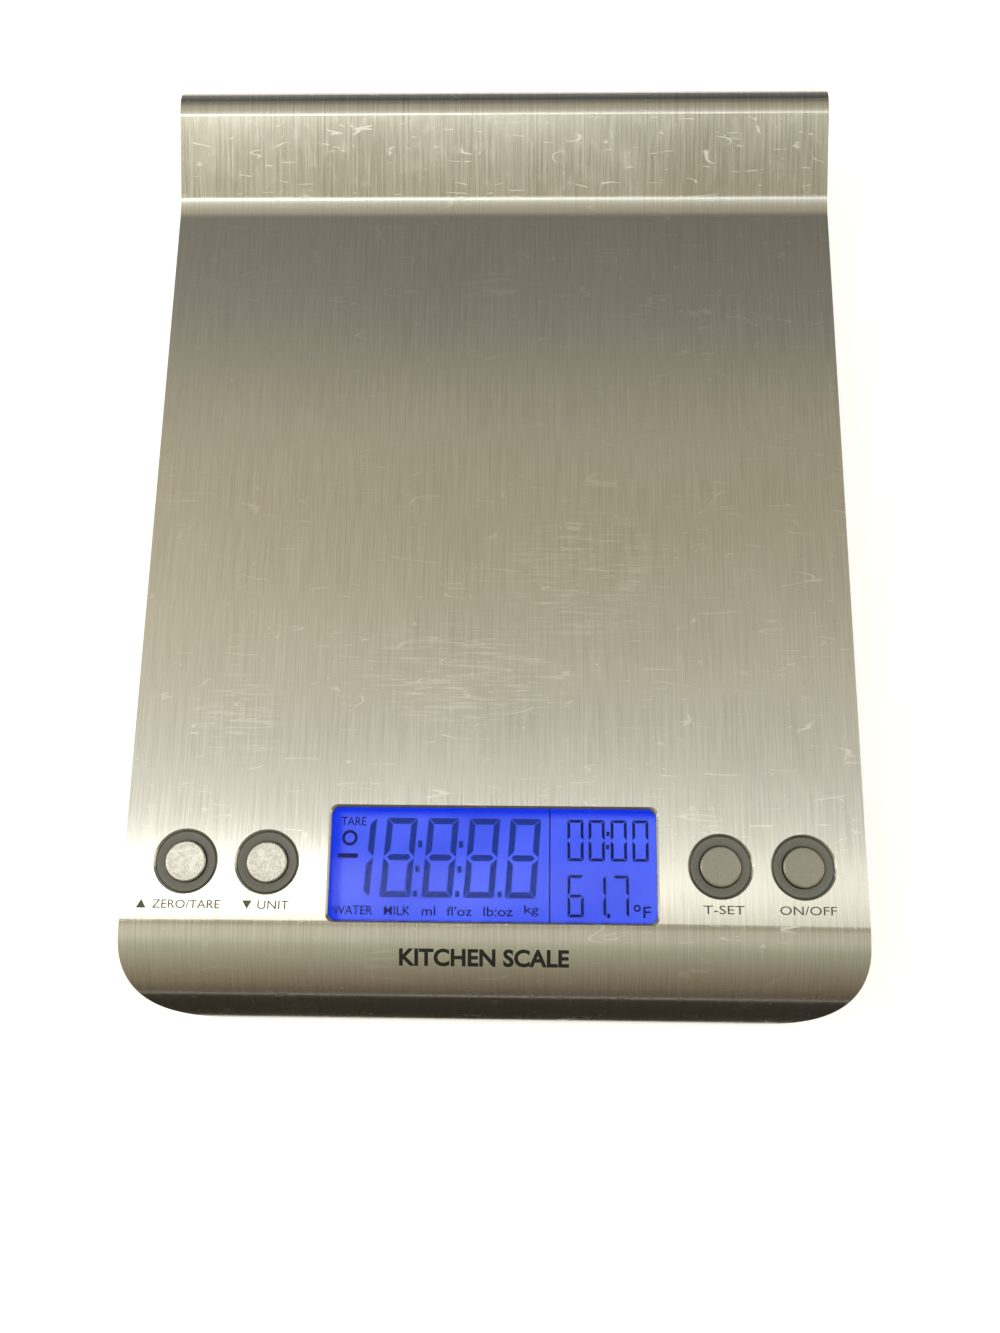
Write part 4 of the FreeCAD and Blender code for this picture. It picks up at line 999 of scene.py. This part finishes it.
# cast acrylic window and light guide: clear, with hairline wear in the gloss
def clearMaterial(name, hexText, ior, rough, coat=1.0):
    # coat below 1 dims the gloss, as an anti-glare coating does
    material, tree, shader, place = startMaterial(name, IOR=ior, Transmission_Weight=1.0,
                                                   Specular_Tint=(coat, coat, coat, 1))
    wear = pattern(tree, place, (0.3, 5, 5), 3.0, (0, 0, 0.5))
    cloud = pattern(tree, place, (14, 9, 9), 3.0)
    tree.links.new(put(tree, "Mix",
                       {0: put(tree, "MapRange", (cloud, 0.3, 0.7, 0, 1), out=0), 6: linear(hexText),
                        7: linear("#ffffff")}, out=2, data_type="RGBA"), shader.inputs["Base Color"])
    tree.links.new(put(tree, "MapRange", (wear, 0.3, 0.7, rough, rough * 2.5), out=0),
                   shader.inputs["Roughness"])
    return material


# negative blue display lit from behind: the glass glows, with a deeper band along its back and left edges
glowSet = {
    "light": "#4f67fb",
    "dim": "#3f57ec",
    "band": "#0030e4",
    "backBand": 1.6,          # millimetres inside the window
    "leftBand": 2.4,
    "soft": 1.6,
    "strength": 1.0,
}


def glowMaterial():
    g = glowSet
    material, tree, shader, place = startMaterial("backlitDisplayGlass", IOR=1.52, Roughness=0.08,
                                                   Specular_IOR_Level=0.1)
    wide, deep, _ = plateSet["window"]
    axes = put(tree, "SeparateXYZ", {"Vector": place})
    left, back = (g["leftBand"] - wide / 2) * mm, rowY + (deep / 2 - g["backBand"]) * mm
    soft = g["soft"] * mm
    fromLeft = put(tree, "MapRange", (axes.outputs["X"], left - soft / 2, left + soft / 2, 1, 0), out=0)
    fromBack = put(tree, "MapRange", (axes.outputs["Y"], back - soft / 2, back + soft / 2, 0, 1), out=0)
    band = put(tree, "Math", (fromLeft, fromBack), out=0, operation="MAXIMUM")
    cloud = pattern(tree, place, (22, 14, 14), 2.0)
    glow = put(tree, "Mix",
               {0: put(tree, "MapRange", (cloud, 0.3, 0.7, 0, 1), out=0), 6: linear(g["dim"]),
                7: linear(g["light"])}, out=2, data_type="RGBA")
    glow = put(tree, "Mix", {0: band, 6: glow, 7: linear(g["band"])}, out=2, data_type="RGBA")
    tree.links.new(glow, shader.inputs["Emission Color"])
    shader.inputs["Emission Strength"].default_value = g["strength"]
    shader.inputs["Base Color"].default_value = linear("#1a1c50")
    return material


# liquid crystal bars: they stop most of the backlight
def inkMaterial(name, hexText):
    material, tree, shader, place = startMaterial(name, IOR=1.52, Roughness=0.3, Specular_IOR_Level=0.1)
    cloud = pattern(tree, place, (5, 5, 5), 2.0)
    fleck = linear(hexText)
    light = tuple(min(1, v * 1.15) for v in fleck[:3]) + (1.0,)
    tree.links.new(put(tree, "Mix",
                       {0: put(tree, "MapRange", (cloud, 0.3, 0.7, 0, 1), out=0), 6: fleck, 7: light},
                       out=2, data_type="RGBA"), shader.inputs["Emission Color"])
    shader.inputs["Emission Strength"].default_value = 1.0
    shader.inputs["Base Color"].default_value = linear("#0c0e28")
    return material


# screen-printed ink, worn thin in specks
def printMaterial(name, hexText, worn, rough):
    material, tree, shader, place = startMaterial(name, IOR=1.5)
    specks = pattern(tree, place, (0.35, 0.5, 1), 3.0)
    tree.links.new(put(tree, "Mix",
                       {0: put(tree, "MapRange", (specks, 0.55, 0.75, 0, 0.5), out=0), 6: linear(hexText),
                        7: linear(worn)}, out=2, data_type="RGBA"), shader.inputs["Base Color"])
    tree.links.new(put(tree, "MapRange", (specks, 0.3, 0.7, rough, rough + 0.15), out=0),
                   shader.inputs["Roughness"])
    return material


# printed shrink sleeve of a cell: two colours, and a faint darker clouding that grows a little along its
# length
def cellMaterial():
    material, tree, shader, place = startMaterial("printedShrinkSleeve", IOR=1.57)
    along = put(tree, "SeparateXYZ", {"Vector": place}, out="X")
    cloud = pattern(tree, place, (6, 6, 6), 3.0)
    bands = put(tree, "TexWave", {"Vector": place, "Scale": perMm(44.5) / 4, "Distortion": 0.0}, out="Fac",
                bands_direction="X")
    share = put(tree, "MapRange", (bands, 0.47, 0.53, 0, 1), out=0)
    tone = put(tree, "Mix", {0: share, 6: linear("#2c6a4f"), 7: linear("#c9c7bf")}, out=2, data_type="RGBA")
    dark = put(tree, "Math",
               (put(tree, "MapRange", (cloud, 0.3, 0.7, 0, 0.15), out=0),
                put(tree, "MapRange", (along, -0.02, 0.02, 0.8, 1.0), out=0)), out=0, operation="MULTIPLY")
    tree.links.new(put(tree, "Mix", {0: dark, 6: tone, 7: linear("#101512")}, out=2, data_type="RGBA"),
                   shader.inputs["Base Color"])
    tree.links.new(put(tree, "MapRange", (cloud, 0.3, 0.7, 0.22, 0.36), out=0), shader.inputs["Roughness"])
    return material


bySlot = {slot: plainMaterial(look) for slot, look in plainSet.items()}
bySlot.update({slot: metalMaterial(look) for slot, look in metalSet.items()})
steel = steelMaterial()
bySlot["brushed_stainless"] = steel
bySlot["key_steel"] = capMaterial("satinPressedSteel", 0.06, "#8d897c", "#9f9b8e")
bySlot["window_acrylic"] = clearMaterial("castAcrylic", "#f4f6fa", 1.49, 0.012, 0.1)
bySlot["lcd_glass"] = glowMaterial()
bySlot["light_guide"] = clearMaterial("acrylicLightGuide", "#dfe6ff", 1.49, 0.10)
bySlot["battery_wrap"] = cellMaterial()
missing = {row["material_slot"] for row in frame["record"]["subparts"]} - set(bySlot)
if missing:
    raise RuntimeError("slots with no material: " + ", ".join(sorted(missing)))


def dress(piece, material):
    piece.data.materials.clear()
    piece.data.materials.append(material)


for row in frame["record"]["subparts"]:
    holder = nodes[row["node"]]
    if not holder.data.materials:
        holder.data.materials.append(None)
    for place in range(len(holder.data.materials)):
        holder.data.materials[place] = bySlot[row["material_slot"]]

dress(plate, steel)
wornCap = capMaterial("dentedPressedSteel", 0.7, "#aaa79e", "#c9c6be")
for cap, name in zip(caps, keySpot):
    dress(cap, wornCap if name in ("tare", "unit") else bySlot["key_steel"])
for ring in rings:
    dress(ring, bySlot["abs_ring"])
dress(lens, bySlot["window_acrylic"])
dress(weightInk, inkMaterial("dimDisplayBars", "#102d89"))
deepInk = inkMaterial("darkDisplayBars", "#000a55")
dress(clockInk, deepInk)
dress(legendInk, deepInk)
dress(keyWords, printMaterial("greyPadPrint", "#5f5b54", "#8f8a7e", 0.4))
dress(productWords, printMaterial("blackPadPrint", "#090807", "#1b1a17", 0.45))
for pad in pads:
    dress(pad, bySlot["rubber_pad"])
dress(door, bySlot["abs_housing"])
dress(labelWords, printMaterial("blackLabelPrint", "#1d1d1d", "#3a3a3a", 0.5))
print("materials made")

# room: ceiling brightness by the angle from straight up, towards -Y (minus) or +Y, as sRGB colours
roomSet = {
    "sky": [(-90, "#595147"), (-74, "#807664"), (-54, "#97907f"), (-29, "#b1b19d"), (-16, "#cdcabc"),
            (-5, "#ccc8b8"), (-1, "#9e9a82"), (2, "#aba893"), (4.5, "#f0f0ec"), (7.6, "#e8e9e6"),
            (9, "#e4e6e1"), (10.8, "#d5d2cc"), (13, "#cccabd"), (16.5, "#c3bfaf"), (22, "#b4b09c"),
            (24.5, "#b8b29f"), (26.7, "#aea999"), (29, "#99968d"), (31, "#8b8882"), (35, "#84817a"),
            (45, "#565755"), (60, "#6c6e6e"), (75, "#85878a"), (90, "#7c7d7f")],
    "skyPower": (1.75, 1.25),     # at the left, and from the middle on
    "skyFade": (-0.35, -0.05),
    "window": 4.5,            # degrees from straight up, towards the back
    "windowEdge": (0.7, 1.5),
    "windowPower": (5.5, 1.1),
    "windowFade": (-0.25, 0.1),
    "seen": "#fefefd",
    "floor": "#f6f6f5",
    "floorGlow": 0.55,
    "flag": [(-0.5, -0.75, 0.001), (0.5, -0.127, 0.0015)],
}


def addRoom():
    world = bpy.data.worlds.new("room")
    scene.world = world
    world.use_nodes = True
    tree = world.node_tree
    tree.nodes.clear()
    way = put(tree, "SeparateXYZ", {"Vector": put(tree, "TexCoord", out="Generated")})
    angle = put(tree, "Math", (way.outputs["Y"], way.outputs["Z"]), out=0, operation="ARCTAN2")
    share = put(tree, "MapRange", (angle, -math.pi / 2, math.pi / 2, 0, 1), out=0)
    ramp = put(tree, "ValToRGB", {"Fac": share})
    stops = ramp.color_ramp.elements
    for degrees, hexText in roomSet["sky"]:
        at = (degrees + 90) / 180
        stop = stops.new(at) if 0 < at < 1 else stops[-round(at)]
        stop.color = linear(hexText)
    # one long window, brighter to the left, which draws the white lines along the bends
    off = put(tree, "Math",
              (put(tree, "Math", (angle, math.radians(roomSet["window"])), out=0, operation="SUBTRACT"),),
              out=0, operation="ABSOLUTE")
    edge = [math.radians(e) for e in roomSet["windowEdge"]]
    window = put(tree, "Math",
                 (put(tree, "MapRange", (off, *edge, 1, 0), out=0),
                  put(tree, "MapRange", (way.outputs["X"], *roomSet["windowFade"], *roomSet["windowPower"]),
                      out=0)), out=0, operation="MULTIPLY")
    glow = put(tree, "MapRange", (way.outputs["X"], *roomSet["skyFade"], *roomSet["skyPower"]), out=0)
    sky = put(tree, "Background",
              {"Color": ramp.outputs[0],
               "Strength": put(tree, "Math", (window, glow), out=0, operation="ADD")})
    seen = put(tree, "Background", {"Color": linear(roomSet["seen"]), "Strength": 1.0})
    direct = put(tree, "LightPath", out="Is Camera Ray")
    both = put(tree, "MixShader", {0: direct, 1: sky.outputs[0], 2: seen.outputs[0]})
    put(tree, "OutputWorld", {"Surface": both.outputs[0]})


def addFloor():
    clearSelection()
    bpy.ops.mesh.primitive_plane_add(size=6)
    floor = named("floor")
    material, tree, shader, place = startMaterial("paperSweep", IOR=1.45, Roughness=0.9)
    fibre = pattern(tree, place, (4, 4, 4), 4.0)
    tone = put(tree, "Mix",
               {0: put(tree, "MapRange", (fibre, 0.3, 0.7, 0, 1), out=0), 6: linear(roomSet["floor"]),
                7: linear("#fafaf9")}, out=2, data_type="RGBA")
    tree.links.new(tone, shader.inputs["Base Color"])
    shader.inputs["Emission Color"].default_value = (1, 1, 1, 1)
    shader.inputs["Emission Strength"].default_value = roomSet["floorGlow"]
    dress(floor, material)


# dark card lying in front, out of the picture: only gloss sees it, and it darkens the rolled edges
def addFlag(name, low, high):
    flag = addBox(name, low, high)
    material, tree, shader, place = startMaterial(name + "Felt", IOR=1.45, Roughness=0.95)
    pile = pattern(tree, place, (2, 2, 2), 4.0)
    tree.links.new(put(tree, "Mix", {0: pile, 6: linear("#2c2824"), 7: linear("#4a443c")}, out=2,
                       data_type="RGBA"), shader.inputs["Base Color"])
    dress(flag, material)
    flag.visible_camera = False
    flag.visible_diffuse = False
    flag.visible_shadow = False
    flag.visible_transmission = False


# soft lights facing the origin: place and size in metres, power in watts
lightSet = {
    "leftCard": {"place": (-1.5, 0.1, 0.8), "size": (1.2, 0.8), "power": 3.2, "hex": "#fffaf2"},
    "rightCard": {"place": (1.5, -0.1, 0.7), "size": (1.2, 0.8), "power": 2.6, "hex": "#fff9ef"},
}


def addLights():
    for name, look in lightSet.items():
        data = bpy.data.lights.new(name, "AREA")
        data.shape = "RECTANGLE"
        data.size, data.size_y = look["size"]
        data.energy = look["power"]
        data.color = linear(look["hex"])[:3]
        lamp = bpy.data.objects.new(name, data)
        scene.collection.objects.link(lamp)
        turn = (-Vector(look["place"])).to_track_quat("-Z", "Y")
        lamp.matrix_world = Matrix.Translation(look["place"]) @ turn.to_matrix().to_4x4()


addRoom()
addFloor()
addFlag("frontFlag", *roomSet["flag"])
addLights()
scene.view_settings.view_transform = "Standard"
scene.view_settings.look = "None"
print("room made")
